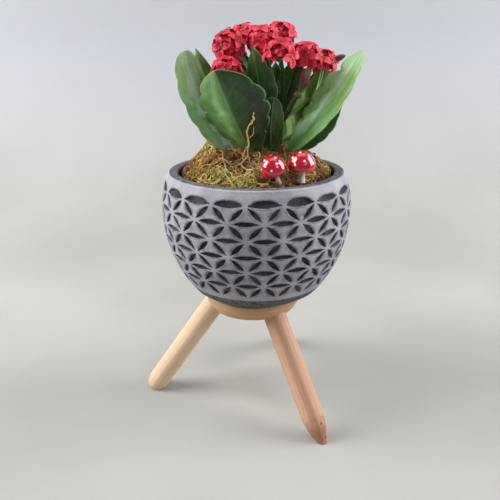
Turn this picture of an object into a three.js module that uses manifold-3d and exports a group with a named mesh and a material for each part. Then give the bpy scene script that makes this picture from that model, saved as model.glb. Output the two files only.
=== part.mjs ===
// Potted kalanchoe: a carved cement bowl on a round wooden plate with three splayed legs. The bowl holds
// soil under a mound of moss, a flowering kalanchoe and two toadstool picks. Millimetres, +Z up.
import * as THREE from 'three';
import { mergeVertices } from 'three/addons/utils/BufferGeometryUtils.js';
import Module from 'manifold-3d';

const wasm = await Module();
wasm.setup();

// Stand: the plate under the bowl and its three dowel legs. The bowl stands a little off its middle.
const STAND_X = -2.4;
const PLATE_BOTTOM = 76.5;
const PLATE_TOP = 88.8;
const PLATE_PROFILE = [[0, PLATE_BOTTOM], [29.5, PLATE_BOTTOM], [31.6, 77.9], [34.3, 82.4], [35.2, 86.6],
  [34.4, PLATE_TOP], [0, PLATE_TOP]];
const SOCKET_TOP = 85.5;
const LEG_RADIUS = 8.3;
const LEG_INSET = 17;
const LEG_SIDES = 16;
const DRILL_REACH = 30;
const CUTTER_SIZE = 400;
const LEGS = [
  { name: 'leg_left', azimuth: 178.5, rootRadius: 29, spread: 81, noseLength: 8, tipRadius: 5.6 },
  { name: 'leg_front', azimuth: 306.5, rootRadius: 26.2, spread: 81.2, noseLength: 18, tipRadius: 4.1 },
  { name: 'leg_back', azimuth: 69, rootRadius: 27, spread: 81.5, noseLength: 12, tipRadius: 5 },
];

// Bowl: outside it is two quarter ellipses that meet at the widest height.
const BOWL_BOTTOM = 89.1;
const BOWL_TOP = 179.5;
const BOWL_RADIUS = 66.5;
const BOWL_WIDEST = 154;
const UPPER_RISE = 64;
const LOWER_DROP = 81;
const BOWL_WALL = 7;
const BOWL_FLOOR = 97;
const FLOOR_ROUNDING = 5;
const FOOT_PROFILE = [[32.4, BOWL_BOTTOM], [34.6, 90], [43, 93.4]];
const FOOT_TOP = 97.5;
const DRAIN_RADIUS = 5;
const DRAIN_SIDES = 12;

// Carving: a triangular lattice of stars, each of six lens-shaped strokes.
const COLUMNS = 18;
const BANDS = 6;
const FIRST_COLUMN = -95.5;
const TOP_ROW = 170.5;
const ROW_STEP = 11.05;
const STROKE_GAP = 0.15;
const STROKE_HALF = 1.5;
const TOP_STROKE_HALF = 2.8;
const STROKE_DEPTH = 1.5;

// Filling.
const SOIL_TOP = 168;
const MOSS_RADIUS = 53.6;
const MOSS_EDGE = 175.5;
const MOSS_RISE = 17;
const MOSS_RINGS = [46, 36, 25, 13];
const FRONT_DROP = 0.47;
const FRONT_START = 14;
const FRONT_RUN = 30;
const KNOLL_RISE = 18;
const KNOLL_X = -29;
const KNOLL_Y = 2;
const KNOLL_SPREAD = 110;
const LUMP_RISE = 0.8;
const LUMP_TURN = 0.42;
const CLEARANCE = 0.3;
const INSIDE_HEIGHTS = [101, 122, 166];
const ROUND = 30;

// Leaves. Each has the root, bend and tip of its midrib, the way its upper side looks, half its width,
// its teeth a side, how steeply its halves rise from the midrib, and the share of it that is stalk.
// Widest is over 1 where the blade is broadest near its tip, and blunt is under 1 where the tip is round.
const TOOTH_START = 0.3;
const TOOTH_CUT = 0.13;
const STALK_HALF = 2.6;
const STALK_THICK = 2.6;
const TIP_HALF = 1.2;
const BLADE_MIDDLE = 2;
const BLADE_EDGE = 0.9;
const FOLD_DRAW = 0.93;
const BROAD = { teeth: 4, columns: 4, widest: 1.25, blunt: 0.6, stalk: 0.18 };
const LONG = { teeth: 4, columns: 2, widest: 1.1, blunt: 0.75, stalk: 0.16 };
const SMALL = { teeth: 2, columns: 2, widest: 1, blunt: 0.8, stalk: 0.15 };
const LEAVES = [
  { name: 'leaf_far_left', root: [8, 2, 182], bend: [-36.5, -5, 203], tip: [-45.2, -4, 257.6],
    face: [0.5, -0.75, 0.4], half: 17.5, fold: 0.15, ...LONG, columns: 4, widest: 1.35, blunt: 0.35 },
  { name: 'leaf_left_inner', root: [9, 6, 190], bend: [-25, 18, 198], tip: [-41.6, 24, 258.4],
    face: [0.7, -0.6, 0.3], half: 12.5, fold: 0.25, ...LONG },
  { name: 'leaf_front_left', root: [8, -2, 184], bend: [-9.9, -22, 197.5], tip: [-24.7, -34, 246.6],
    face: [0.3, 0.9, 0.3], half: 26, fold: 0.32, ...BROAD, widest: 1.6 },
  { name: 'leaf_front', root: [12, -2, 189], bend: [8, -12, 198], tip: [11, -20, 229.6],
    face: [0, 1, 0.3], half: 9.2, fold: 0.25, ...BROAD, columns: 2, widest: 1.35, blunt: 0.45 },
  { name: 'leaf_pointed', root: [12, 0, 198], bend: [5, -9, 216], tip: [-1.8, -14, 260],
    face: [0.3, 1, 0.2], half: 11.8, fold: 0.2, ...LONG, widest: 1.4, blunt: 1 },
  { name: 'leaf_right_inner', root: [16, 5, 198], bend: [31.3, 9, 197], tip: [44.5, 5, 251],
    face: [-0.7, -0.4, 0.5], half: 12, fold: 0.4, ...LONG, widest: 0.9, blunt: 1.1 },
  { name: 'leaf_far_right', root: [15, -2, 186], bend: [36, -21, 209], tip: [67.8, -10, 257.3],
    face: [-0.45, -0.25, 0.1], half: 16.5, fold: 0.1, ...LONG, columns: 4, widest: 1.35, blunt: 0.5 },
  { name: 'leaf_right_low', root: [16, 4, 184], bend: [34, 5, 193], tip: [59.3, 8, 223.8],
    face: [-0.3, -0.6, 0.7], half: 14, fold: 0.25, ...LONG, widest: 1.3, blunt: 1.1 },
  { name: 'leaf_back_left', root: [11, 6, 185], bend: [2, 30, 194], tip: [-8, 47, 245],
    face: [0.2, -0.9, 0.3], half: 19, fold: 0.3, ...BROAD, columns: 2 },
  { name: 'leaf_back_right', root: [15, 6, 190], bend: [36, 32, 197], tip: [52, 42, 244],
    face: [-0.6, -0.7, 0.3], half: 18, fold: 0.3, ...BROAD, columns: 2 },
  { name: 'leaf_back', root: [14, 7, 194], bend: [20, 28, 202], tip: [24, 40, 238],
    face: [0, -1, 0.4], half: 13, fold: 0.3, ...BROAD, columns: 2 },
];

// Stem: the trunk's centre line as [x, y, z, radius], and the small leaves under the flowers.
const TRUNK = [[12, 3, 148, 4.2], [12, 3, 175, 4.4], [14, 2, 200, 4], [17.5, 2, 224, 3.2]];
const TRUNK_SIDES = 8;
const BRANCH_RADIUS = 1.7;
const BRANCH_TAPER = 0.4;
const BRANCH_SAG = 3;
const BRANCH_SIDES = 5;
const BRACTS = [
  { root: [16, 3, 216], bend: [2, 7, 230], tip: [-9, 5, 256],
    face: [0.3, -0.8, 0.6], half: 8, fold: 0.3, ...SMALL },
  { root: [17.5, 3, 221], bend: [22, 6, 232], tip: [26, 4, 252],
    face: [0, -1, 0.2], half: 9, fold: 0.3, ...SMALL },
  { root: [16.5, 3, 219], bend: [13, 8, 230], tip: [13, 8, 250],
    face: [0.1, -1, 0.2], half: 7, fold: 0.3, ...SMALL },
];

// Flowers. A head's florets stand on tubes that spring from its core, one at the top and the others round
// it. Each head has the start of its branch on the trunk, its core, the way it faces and a floret's reach.
const CORE_RADIUS = 3;
const RING_TILT = 62;
const JITTER = 16;
const PETAL = [[2.3, -45, 0], [4.6, -27, 0.2], [6.9, 0, -1], [4.6, 27, 0.2]];
const PETAL_THICK = 0.8;
const TUBE_RADIUS = 1.3;
const TUBE_TAPER = 0.75;
const THROAT_DEPTH = 0.6;
const NECK_DEPTH = 2.2;
const BUD_SHAPE = [[-5, 1.2], [-1.5, 2.2], [1.5, 1.9], [4, 0.5]];
const HEADS = [
  { name: 'flowers_left_low', from: [15, 2, 206], via: [-20, 8, 224], core: [-18.5, -19, 244],
    aim: [-0.3, -0.3, 1], count: 5, reach: 10.5, seed: 11 },
  { name: 'flowers_left', from: [16.5, 2, 219], core: [-17, -3, 259], aim: [-0.4, -0.3, 1],
    count: 5, reach: 11, seed: 12 },
  { name: 'flowers_top_left', from: [17.5, 2, 223], core: [-7, 17, 264], aim: [-0.2, 0, 1],
    count: 4, reach: 11, seed: 13 },
  { name: 'flowers_centre', from: [17.5, 2, 223], core: [4, -2.5, 261.8], aim: [0, -0.3, 1],
    count: 5, reach: 11, seed: 14 },
  { name: 'flowers_top', from: [17.5, 2, 223], core: [16, 16, 264.5], aim: [0, 0, 1],
    count: 5, reach: 11, seed: 15 },
  { name: 'flowers_front', from: [17.5, 2, 221], via: [19, -4, 240], core: [15, -22, 253.5],
    aim: [0, -0.5, 1], count: 4, reach: 11, seed: 16 },
  { name: 'flowers_right', from: [17, 2, 217], core: [31.5, -8, 252], aim: [0.1, -0.4, 1],
    count: 5, reach: 11, seed: 17 },
  { name: 'flowers_far_right', from: [16.5, 2, 213], via: [29, 24, 228], core: [45, 10, 248],
    aim: [0.3, -0.1, 1], count: 4, reach: 10, buds: [[55.7, 7, 252.5]], seed: 18 },
  { name: 'flowers_back_left', from: [16, 2, 215], core: [-17, 31, 250], aim: [-0.4, 0.5, 1],
    count: 4, reach: 11, seed: 19 },
  { name: 'flowers_back', from: [17, 2, 220], core: [8, 38, 254], aim: [0, 0.6, 1],
    count: 4, reach: 11, seed: 20 },
  { name: 'flowers_back_right', from: [16.5, 2, 211], core: [32, 33, 251], aim: [0.3, 0.5, 1],
    count: 4, reach: 11, seed: 21 },
  { name: 'buds_right', from: [15.5, 2, 209], core: [27, -9, 230], aim: [0, 0, 1],
    count: 0, reach: 11, buds: [[30, -13, 243], [32, -12, 238]], seed: 22 },
];

// Toadstool picks: a wire in the soil, a stalk and a glossy cap. The cap's outline is in cap radii.
const PICK_WIRE_LENGTH = 30;
const PICK_WIRE_RADIUS = 0.8;
const PICK_SHOULDER = 0.8;
const PICK_FLARE = 1.15;
const PICK_SIDES = 10;
const CAP_SIDES = 14;
const CAP_PROFILE = [[0, 0], [0.62, 0], [0.9, 0.07], [1, 0.3], [0.98, 0.62], [0.84, 1], [0.6, 1.3],
  [0.3, 1.46], [0, 1.5]];
const PICKS = [
  { name: 'toadstool_left', foot: [14.2, -45, 180], cap: [12.1, -45.5, 185.5], capRadius: 8.1, stalk: 1.5 },
  { name: 'toadstool_right', foot: [28.2, -41, 180], cap: [28.3, -40.5, 186.2], capRadius: 8.6, stalk: 2.3 },
];

const rad = THREE.MathUtils.degToRad;
const vec = (list) => new THREE.Vector3(...list);
const UP = new THREE.Vector3(0, 0, 1);

const RANDOM_FACTOR = 1664525;
const RANDOM_STEP = 1013904223;
const RANDOM_RANGE = 2 ** 32;

// Seeded random numbers from 0 to 1.
function randomFrom(seed) {
  let state = seed;
  return () => {
    state = (state * RANDOM_FACTOR + RANDOM_STEP) % RANDOM_RANGE;
    return state / RANDOM_RANGE;
  };
}

// A mesh under construction: points with shared numbers, and triangles that face outwards.
class Shell {
  constructor() {
    this.points = [];
    this.faces = [];
    this.named = new Map();
  }

  add(point) {
    this.points.push(point);
    return this.points.length - 1;
  }

  once(key, make) {
    if (!this.named.has(key)) this.named.set(key, this.add(make()));
    return this.named.get(key);
  }

  face(...corners) {
    for (let i = 1; i + 1 < corners.length; i += 1) {
      this.faces.push(corners[0], corners[i], corners[i + 1]);
    }
  }

  // Joins two closed rings that both run anticlockwise seen from above. The rings may differ in count.
  zip(from, to) {
    const first = this.angleOf(from[0]);
    const apart = to.map((point) => Math.abs(wrapAngle(this.angleOf(point) - first)));
    const start = apart.indexOf(Math.min(...apart));
    const target = to.slice(start).concat(to.slice(0, start));
    const a = this.turns(from, first);
    const b = this.turns(target, first);
    let i = 0;
    let j = 0;
    while (i < from.length || j < target.length) {
      const here = from[i % from.length];
      const there = target[j % target.length];
      if (j >= target.length || (i < from.length && a[i] + a[i + 1] <= b[j] + b[j + 1])) {
        i += 1;
        this.face(here, from[i % from.length], there);
      } else {
        j += 1;
        this.face(here, target[j % target.length], there);
      }
    }
  }

  // The angles round a ring, counted on past a full turn, beginning nearest to a first angle.
  turns(ring, first) {
    const angles = [first + wrapAngle(this.angleOf(ring[0]) - first)];
    for (let i = 1; i <= ring.length; i += 1) {
      const last = angles[i - 1];
      angles.push(last + wrapAngle(this.angleOf(ring[i % ring.length]) - last));
    }
    return angles;
  }

  angleOf(index) {
    return Math.atan2(this.points[index].y, this.points[index].x);
  }

  ring(radius, z, count, firstDegrees = 0) {
    const list = [];
    for (let i = 0; i < count; i += 1) {
      const angle = rad(firstDegrees) + (2 * Math.PI * i) / count;
      list.push(this.add(new THREE.Vector3(radius * Math.cos(angle), radius * Math.sin(angle), z)));
    }
    return list;
  }

  // Closes a ring with triangles to one point, facing up or down.
  fan(centre, ring, up) {
    ring.forEach((index, i) => {
      const next = ring[(i + 1) % ring.length];
      this.face(centre, up ? index : next, up ? next : index);
    });
  }

  geometry() {
    const geometry = new THREE.BufferGeometry();
    const places = this.points.flatMap((point) => point.toArray());
    geometry.setAttribute('position', new THREE.Float32BufferAttribute(places, 3));
    geometry.setIndex(this.faces);
    return geometry;
  }

  solid() {
    return toSolid(this.geometry());
  }
}

function wrapAngle(angle) {
  return Math.atan2(Math.sin(angle), Math.cos(angle));
}

function toSolid(geometry) {
  const plain = geometry.clone();
  plain.deleteAttribute('normal');
  plain.deleteAttribute('uv');
  const merged = mergeVertices(plain, 1e-4);
  return new wasm.Manifold(new wasm.Mesh({
    numProp: 3,
    vertProperties: Float32Array.from(merged.attributes.position.array),
    triVerts: Uint32Array.from(merged.index.array),
  }));
}

function toGeometry(solid) {
  const mesh = solid.getMesh();
  const geometry = new THREE.BufferGeometry();
  geometry.setAttribute('position', new THREE.BufferAttribute(mesh.vertProperties, 3));
  geometry.setIndex(new THREE.BufferAttribute(mesh.triVerts, 1));
  return geometry;
}

function joinAll(solids) {
  return solids.reduce((whole, next) => whole.add(next));
}

function cutAll(solid, cutters) {
  return cutters.reduce((rest, cutter) => rest.subtract(cutter), solid);
}

// The largest piece of a solid that a cut has left in several pieces.
function mainPiece(solid) {
  const pieces = solid.decompose();
  return pieces.reduce((best, next) => (next.volume() > best.volume() ? next : best));
}

// A round rod along a list of stations, each { at: Vector3, radius }, with flat ends.
function rod(stations, sides, grow = 0) {
  const shell = new Shell();
  const rings = stations.map((station, i) => {
    const before = stations[Math.max(i - 1, 0)].at;
    const after = stations[Math.min(i + 1, stations.length - 1)].at;
    const along = after.clone().sub(before).normalize();
    const across = new THREE.Vector3(0, 1, 0).cross(along).normalize();
    const third = along.clone().cross(across);
    const ring = [];
    for (let k = 0; k < sides; k += 1) {
      const angle = (2 * Math.PI * k) / sides;
      const offset = across.clone().multiplyScalar(Math.cos(angle)).addScaledVector(third, Math.sin(angle));
      ring.push(shell.add(station.at.clone().addScaledVector(offset, station.radius + grow)));
    }
    return ring;
  });
  for (let i = 0; i + 1 < rings.length; i += 1) {
    for (let k = 0; k < sides; k += 1) {
      const next = (k + 1) % sides;
      shell.face(rings[i][k], rings[i][next], rings[i + 1][next], rings[i + 1][k]);
    }
  }
  shell.face(...rings[0].slice().reverse());
  shell.face(...rings[rings.length - 1]);
  return shell.solid();
}

function lathe(profile, segments) {
  const points = profile.map(([radius, z]) => new THREE.Vector2(radius, z));
  const geometry = new THREE.LatheGeometry(points, segments);
  geometry.rotateX(Math.PI / 2);
  return toSolid(geometry);
}

function curvePoint(leaf, s) {
  const curve = new THREE.QuadraticBezierCurve3(vec(leaf.root), vec(leaf.bend), vec(leaf.tip));
  return { at: curve.getPoint(s), along: curve.getTangent(s) };
}

// Stand

function legAxis(leg) {
  const outward = new THREE.Vector3(Math.cos(rad(leg.azimuth)), Math.sin(rad(leg.azimuth)), 0);
  const root = outward.clone().multiplyScalar(leg.rootRadius).setZ(PLATE_BOTTOM);
  const foot = outward.clone().multiplyScalar(leg.spread);
  for (const end of [root, foot]) end.x += STAND_X;
  return { root, foot, along: foot.clone().sub(root).normalize() };
}

function legSolid(leg) {
  const { root, foot, along } = legAxis(leg);
  const nose = leg.noseLength;
  const at = (behindFoot) => foot.clone().addScaledVector(along, -behindFoot);
  const blank = rod([
    { at: root.clone().addScaledVector(along, -LEG_INSET), radius: LEG_RADIUS },
    { at: at(nose), radius: LEG_RADIUS },
    { at: at(nose * 0.5), radius: LEG_RADIUS * 0.6 + leg.tipRadius * 0.4 },
    { at: at(nose * 0.12), radius: leg.tipRadius },
    { at: at(-nose * 0.1), radius: leg.tipRadius * 0.72 },
  ], LEG_SIDES);
  const height = SOCKET_TOP - CLEARANCE;
  const slab = new THREE.BoxGeometry(CUTTER_SIZE, CUTTER_SIZE, height);
  slab.translate(0, 0, height / 2);
  return blank.intersect(toSolid(slab));
}

function plateSolid() {
  const blank = lathe(PLATE_PROFILE, ROUND).translate([STAND_X, 0, 0]);
  const below = new THREE.BoxGeometry(CUTTER_SIZE, CUTTER_SIZE, 2 * SOCKET_TOP);
  const sockets = LEGS.map((leg) => {
    const { root, along } = legAxis(leg);
    const drill = rod([
      { at: root.clone().addScaledVector(along, -DRILL_REACH), radius: LEG_RADIUS + CLEARANCE },
      { at: root.clone().addScaledVector(along, DRILL_REACH), radius: LEG_RADIUS + CLEARANCE },
    ], LEG_SIDES);
    return drill.intersect(toSolid(below));
  });
  return cutAll(blank, sockets);
}

// Bowl

function bowlRadius(z) {
  const reach = z > BOWL_WIDEST ? UPPER_RISE : LOWER_DROP;
  return BOWL_RADIUS * Math.sqrt(1 - ((z - BOWL_WIDEST) / reach) ** 2);
}

function insideRadius(z) {
  return bowlRadius(z) - BOWL_WALL;
}

// A point on the wall at a place in the lattice, where one step along is a column and one down is a row.
function wallPoint(column, row, sink = 0) {
  const angle = rad(FIRST_COLUMN + (column * 360) / COLUMNS);
  const z = TOP_ROW - row * ROW_STEP;
  const radius = bowlRadius(z) - sink;
  return new THREE.Vector3(radius * Math.cos(angle), radius * Math.sin(angle), z);
}

// One stroke between two lattice places: its two tips, its two sides and its deepest point.
function stroke(shell, kind, half, row) {
  const start = ((half % (2 * COLUMNS)) + 2 * COLUMNS) % (2 * COLUMNS);
  const shift = { across: [1, 0], right: [0.5, 1], left: [-0.5, 1] }[kind];
  const columnWidth = (2 * Math.PI * BOWL_RADIUS) / COLUMNS;
  const along = new THREE.Vector2(shift[0] * columnWidth, -shift[1] * ROW_STEP).normalize();
  const place = (key, t, aside, sink) => shell.once(`${kind}/${start}/${row}/${key}`, () => {
    const column = start / 2 + shift[0] * t + (-along.y * aside) / columnWidth;
    return wallPoint(column, row + shift[1] * t - (along.x * aside) / ROW_STEP, sink);
  });
  const wide = kind === 'across' && row === 0 ? TOP_STROKE_HALF : STROKE_HALF;
  return {
    start: place('start', STROKE_GAP, 0, 0),
    end: place('end', 1 - STROKE_GAP, 0, 0),
    left: place('left', 0.5, wide, 0),
    right: place('right', 0.5, -STROKE_HALF, 0),
    deep: place('deep', 0.5, 0, STROKE_DEPTH),
  };
}

function carveStroke(shell, mark) {
  shell.face(mark.start, mark.right, mark.deep);
  shell.face(mark.right, mark.end, mark.deep);
  shell.face(mark.end, mark.left, mark.deep);
  shell.face(mark.left, mark.start, mark.deep);
}

// The carved wall between its top and bottom chains of points, which it gives back.
function carvedWall(shell) {
  const mark = (kind, half, row) => stroke(shell, kind, half, row);
  const top = [];
  const bottom = [];
  for (let row = 0; row <= BANDS; row += 1) {
    for (let column = 0; column < COLUMNS; column += 1) {
      const half = 2 * column + (row % 2);
      if (row === BANDS) {
        const centre = shell.once(`centre/${half}`, () => wallPoint(half / 2, row));
        bottom.push(centre);
        shell.face(centre, mark('left', half + 1, row - 1).end, mark('right', half - 1, row - 1).end);
        continue;
      }
      const east = mark('across', half, row);
      const west = mark('across', half - 2, row);
      const southEast = mark('right', half, row);
      const southWest = mark('left', half, row);
      [east, southEast, southWest].forEach((each) => carveStroke(shell, each));
      if (row === 0) {
        top.push(east.start, east.left, east.end);
        shell.face(west.end, southWest.start, southEast.start, east.start);
      } else {
        const northEast = mark('left', half + 1, row - 1);
        const northWest = mark('right', half - 1, row - 1);
        shell.face(west.end, southWest.start, southEast.start, east.start, northEast.end, northWest.end);
      }
      hangingCell(shell, east, southEast, mark('left', half + 2, row));
      if (row + 1 < BANDS) {
        standingCell(shell, southWest, southEast, mark('across', half - 1, row + 1));
      } else {
        lastCell(shell, southWest, southEast, half, row + 1);
      }
    }
  }
  return { top, bottom };
}

// A triangle of wall that hangs from a stroke across, between a stroke to the right and one to the left.
function hangingCell(shell, above, right, left) {
  shell.face(right.left, left.right, above.right);
  shell.face(above.start, right.start, right.left, above.right);
  shell.face(right.left, right.end, left.end, left.right);
  shell.face(left.right, left.start, above.end, above.right);
}

// A triangle of wall that stands on a stroke across.
function standingCell(shell, left, right, below) {
  shell.face(below.left, right.right, left.left);
  shell.face(left.left, left.end, below.start, below.left);
  shell.face(below.left, below.end, right.end, right.right);
  shell.face(right.right, right.start, left.start, left.left);
}

// The lowest triangles stand on the plain foot, with no stroke across under them.
function lastCell(shell, left, right, half, row) {
  const corner = (shift) => {
    const at = (half + shift + 2 * COLUMNS) % (2 * COLUMNS);
    return shell.once(`centre/${at}`, () => wallPoint(at / 2, row));
  };
  const a = corner(-1);
  const b = corner(1);
  shell.face(left.left, left.end, a);
  shell.face(b, right.end, right.right);
  shell.face(right.right, right.start, left.start, left.left);
  shell.face(a, b, right.right, left.left);
}

function bowlGeometry() {
  const shell = new Shell();
  const { top, bottom } = carvedWall(shell);
  const drainUnder = shell.ring(DRAIN_RADIUS, BOWL_BOTTOM, DRAIN_SIDES);
  const path = [
    drainUnder,
    ...FOOT_PROFILE.map(([radius, z]) => shell.ring(radius, z, ROUND)),
    shell.ring(bowlRadius(FOOT_TOP), FOOT_TOP, ROUND),
    bottom,
  ];
  for (let i = 0; i + 1 < path.length; i += 1) shell.zip(path[i], path[i + 1]);
  const rim = 3 * COLUMNS;
  const lip = bowlRadius(BOWL_TOP);
  const inward = [
    top,
    shell.ring(lip + 0.4, BOWL_TOP - 1.6, rim, FIRST_COLUMN),
    shell.ring(lip - 0.9, BOWL_TOP - 0.3, rim, FIRST_COLUMN),
    shell.ring(lip - 2.2, BOWL_TOP, ROUND),
    shell.ring(lip - BOWL_WALL + 1, BOWL_TOP - 0.2, ROUND),
    shell.ring(lip - BOWL_WALL, BOWL_TOP - 1.4, ROUND),
  ];
  for (const z of INSIDE_HEIGHTS.slice().reverse()) inward.push(shell.ring(insideRadius(z), z, ROUND));
  inward.push(shell.ring(insideRadius(INSIDE_HEIGHTS[0]) - FLOOR_ROUNDING, BOWL_FLOOR, ROUND));
  inward.push(shell.ring(DRAIN_RADIUS, BOWL_FLOOR, DRAIN_SIDES), drainUnder);
  for (let i = 0; i + 1 < inward.length; i += 1) shell.zip(inward[i], inward[i + 1]);
  return shell.geometry();
}

// Soil and moss

function soilSolid() {
  const gap = 2 * CLEARANCE;
  const floor = BOWL_FLOOR + CLEARANCE;
  const profile = [[0, floor], [insideRadius(INSIDE_HEIGHTS[0]) - FLOOR_ROUNDING - 1, floor]];
  for (const z of INSIDE_HEIGHTS) profile.push([insideRadius(z) - gap, z + CLEARANCE]);
  profile.push([insideRadius(SOIL_TOP) - gap, SOIL_TOP], [0, SOIL_TOP]);
  return lathe(profile, ROUND);
}

// The moss is level round the stem and steep at its sides, with a knoll on the left and a low front.
function mossHeight(x, y) {
  const r = Math.hypot(x, y) / MOSS_RADIUS;
  const front = THREE.MathUtils.clamp((-y - FRONT_START) / FRONT_RUN, 0, 1);
  const mound = MOSS_EDGE + MOSS_RISE * (1 - r ** 4) * (1 - FRONT_DROP * front);
  const knoll = KNOLL_RISE * Math.exp(-((x - KNOLL_X) ** 2 + (y - KNOLL_Y) ** 2) / KNOLL_SPREAD);
  const broad = Math.sin(x * LUMP_TURN + 1.3) * Math.cos(y * LUMP_TURN);
  const fine = Math.sin(2 * LUMP_TURN * (x - y));
  return mound + (knoll + LUMP_RISE * (broad + 0.6 * fine)) * (1.1 - r);
}

function mossSolid(cutters) {
  const shell = new Shell();
  const base = SOIL_TOP + CLEARANCE;
  const under = shell.ring(MOSS_RADIUS, base, ROUND);
  shell.fan(shell.add(new THREE.Vector3(0, 0, base)), under, false);
  let last = under;
  for (const radius of [MOSS_RADIUS, ...MOSS_RINGS]) {
    const ring = shell.ring(radius, 0, radius > MOSS_RADIUS / 3 ? ROUND : ROUND / 2);
    for (const index of ring) {
      const point = shell.points[index];
      point.z = mossHeight(point.x, point.y);
    }
    shell.zip(last, ring);
    last = ring;
  }
  shell.fan(shell.add(new THREE.Vector3(0, 0, mossHeight(0, 0))), last, true);
  return mainPiece(cutAll(shell.solid(), cutters));
}

// Leaves

// Half the blade's width at q, from 0 at the stalk to 1 at the tip, with round teeth on the outer part.
function bladeHalf(leaf, q) {
  const outline = Math.sin(Math.PI * Math.min(q, 0.999) ** leaf.widest) ** leaf.blunt;
  const along = Math.max(0, q - TOOTH_START) / (1 - TOOTH_START);
  const tooth = q < TOOTH_START ? 1 : Math.abs(Math.sin(Math.PI * leaf.teeth * along));
  return leaf.half * outline * (1 - TOOTH_CUT * (1 - Math.sqrt(tooth)));
}

function leafStations(leaf) {
  const blade = [0, 0.14];
  for (let tooth = 0; tooth < leaf.teeth; tooth += 1) {
    for (const part of [0, 0.25, 0.75]) {
      blade.push(TOOTH_START + ((1 - TOOTH_START) * (tooth + part)) / leaf.teeth);
    }
  }
  return [0, ...blade.concat(1).map((q) => leaf.stalk + (1 - leaf.stalk) * q)];
}

function leafSolid(leaf, grow = 0) {
  const shell = new Shell();
  const columns = leaf.columns;
  const rows = leafStations(leaf).map((s) => {
    const { at, along } = curvePoint(leaf, s);
    const up = vec(leaf.face).addScaledVector(along, -vec(leaf.face).dot(along)).normalize();
    const side = along.clone().cross(up);
    const q = (s - leaf.stalk) / (1 - leaf.stalk);
    const half = Math.max(q > 0 ? bladeHalf(leaf, q) : 0, q > 0.5 ? TIP_HALF : STALK_HALF) + grow;
    const upper = [];
    const lower = [];
    for (let i = 0; i <= columns; i += 1) {
      const u = (2 * i) / columns - 1;
      const lift = leaf.fold * Math.max(0, Math.min(1, 4 * q)) * half * Math.abs(u) ** 1.4;
      const middle = q > 0 ? BLADE_MIDDLE : STALK_THICK;
      const thick = middle + (BLADE_EDGE - middle) * (q > 0 ? Math.abs(u) : 0);
      const point = at.clone().addScaledVector(side, u * half * FOLD_DRAW).addScaledVector(up, lift);
      upper.push(shell.add(point.clone().addScaledVector(up, thick / 2 + grow)));
      lower.push(shell.add(point.clone().addScaledVector(up, -thick / 2 - grow)));
    }
    return { upper, lower };
  });
  for (let k = 0; k + 1 < rows.length; k += 1) {
    const a = rows[k];
    const b = rows[k + 1];
    for (let i = 0; i < columns; i += 1) {
      shell.face(a.upper[i], a.upper[i + 1], b.upper[i + 1]);
      shell.face(a.upper[i], b.upper[i + 1], b.upper[i]);
      shell.face(a.lower[i], b.lower[i + 1], a.lower[i + 1]);
      shell.face(a.lower[i], b.lower[i], b.lower[i + 1]);
    }
    shell.face(a.lower[0], a.upper[0], b.upper[0], b.lower[0]);
    shell.face(a.upper[columns], a.lower[columns], b.lower[columns], b.upper[columns]);
  }
  const root = rows[0];
  const tip = rows[rows.length - 1];
  for (let i = 0; i < columns; i += 1) {
    shell.face(root.upper[i], root.lower[i], root.lower[i + 1], root.upper[i + 1]);
    shell.face(tip.lower[i], tip.upper[i], tip.upper[i + 1], tip.lower[i + 1]);
  }
  return shell.solid();
}

// Stem and flowers

function trunkSolid(grow = 0) {
  const stations = TRUNK.map(([x, y, z, radius]) => ({ at: new THREE.Vector3(x, y, z), radius }));
  return rod(stations, TRUNK_SIDES, grow);
}

function branchSolid(head) {
  const start = vec(head.from);
  const core = vec(head.core);
  const sag = start.clone().lerp(core, 0.5).add(new THREE.Vector3(0, 0, -BRANCH_SAG));
  const curve = new THREE.QuadraticBezierCurve3(start, head.via ? vec(head.via) : sag, core);
  const stations = [0, 1 / 3, 2 / 3, 1].map((part) => {
    return { at: curve.getPointAt(part), radius: BRANCH_RADIUS - BRANCH_TAPER * part };
  });
  return rod(stations, BRANCH_SIDES);
}

function stemSolid() {
  const whole = joinAll([trunkSolid(), ...HEADS.map(branchSolid), ...BRACTS.map((leaf) => leafSolid(leaf))]);
  return mainPiece(cutAll(whole, HEADS.map((head) => coreSolid(head, CLEARANCE))));
}

function coreSolid(head, grow = 0) {
  const ball = new THREE.IcosahedronGeometry(CORE_RADIUS + grow, 0);
  ball.translate(...head.core);
  return toSolid(ball);
}

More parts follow.
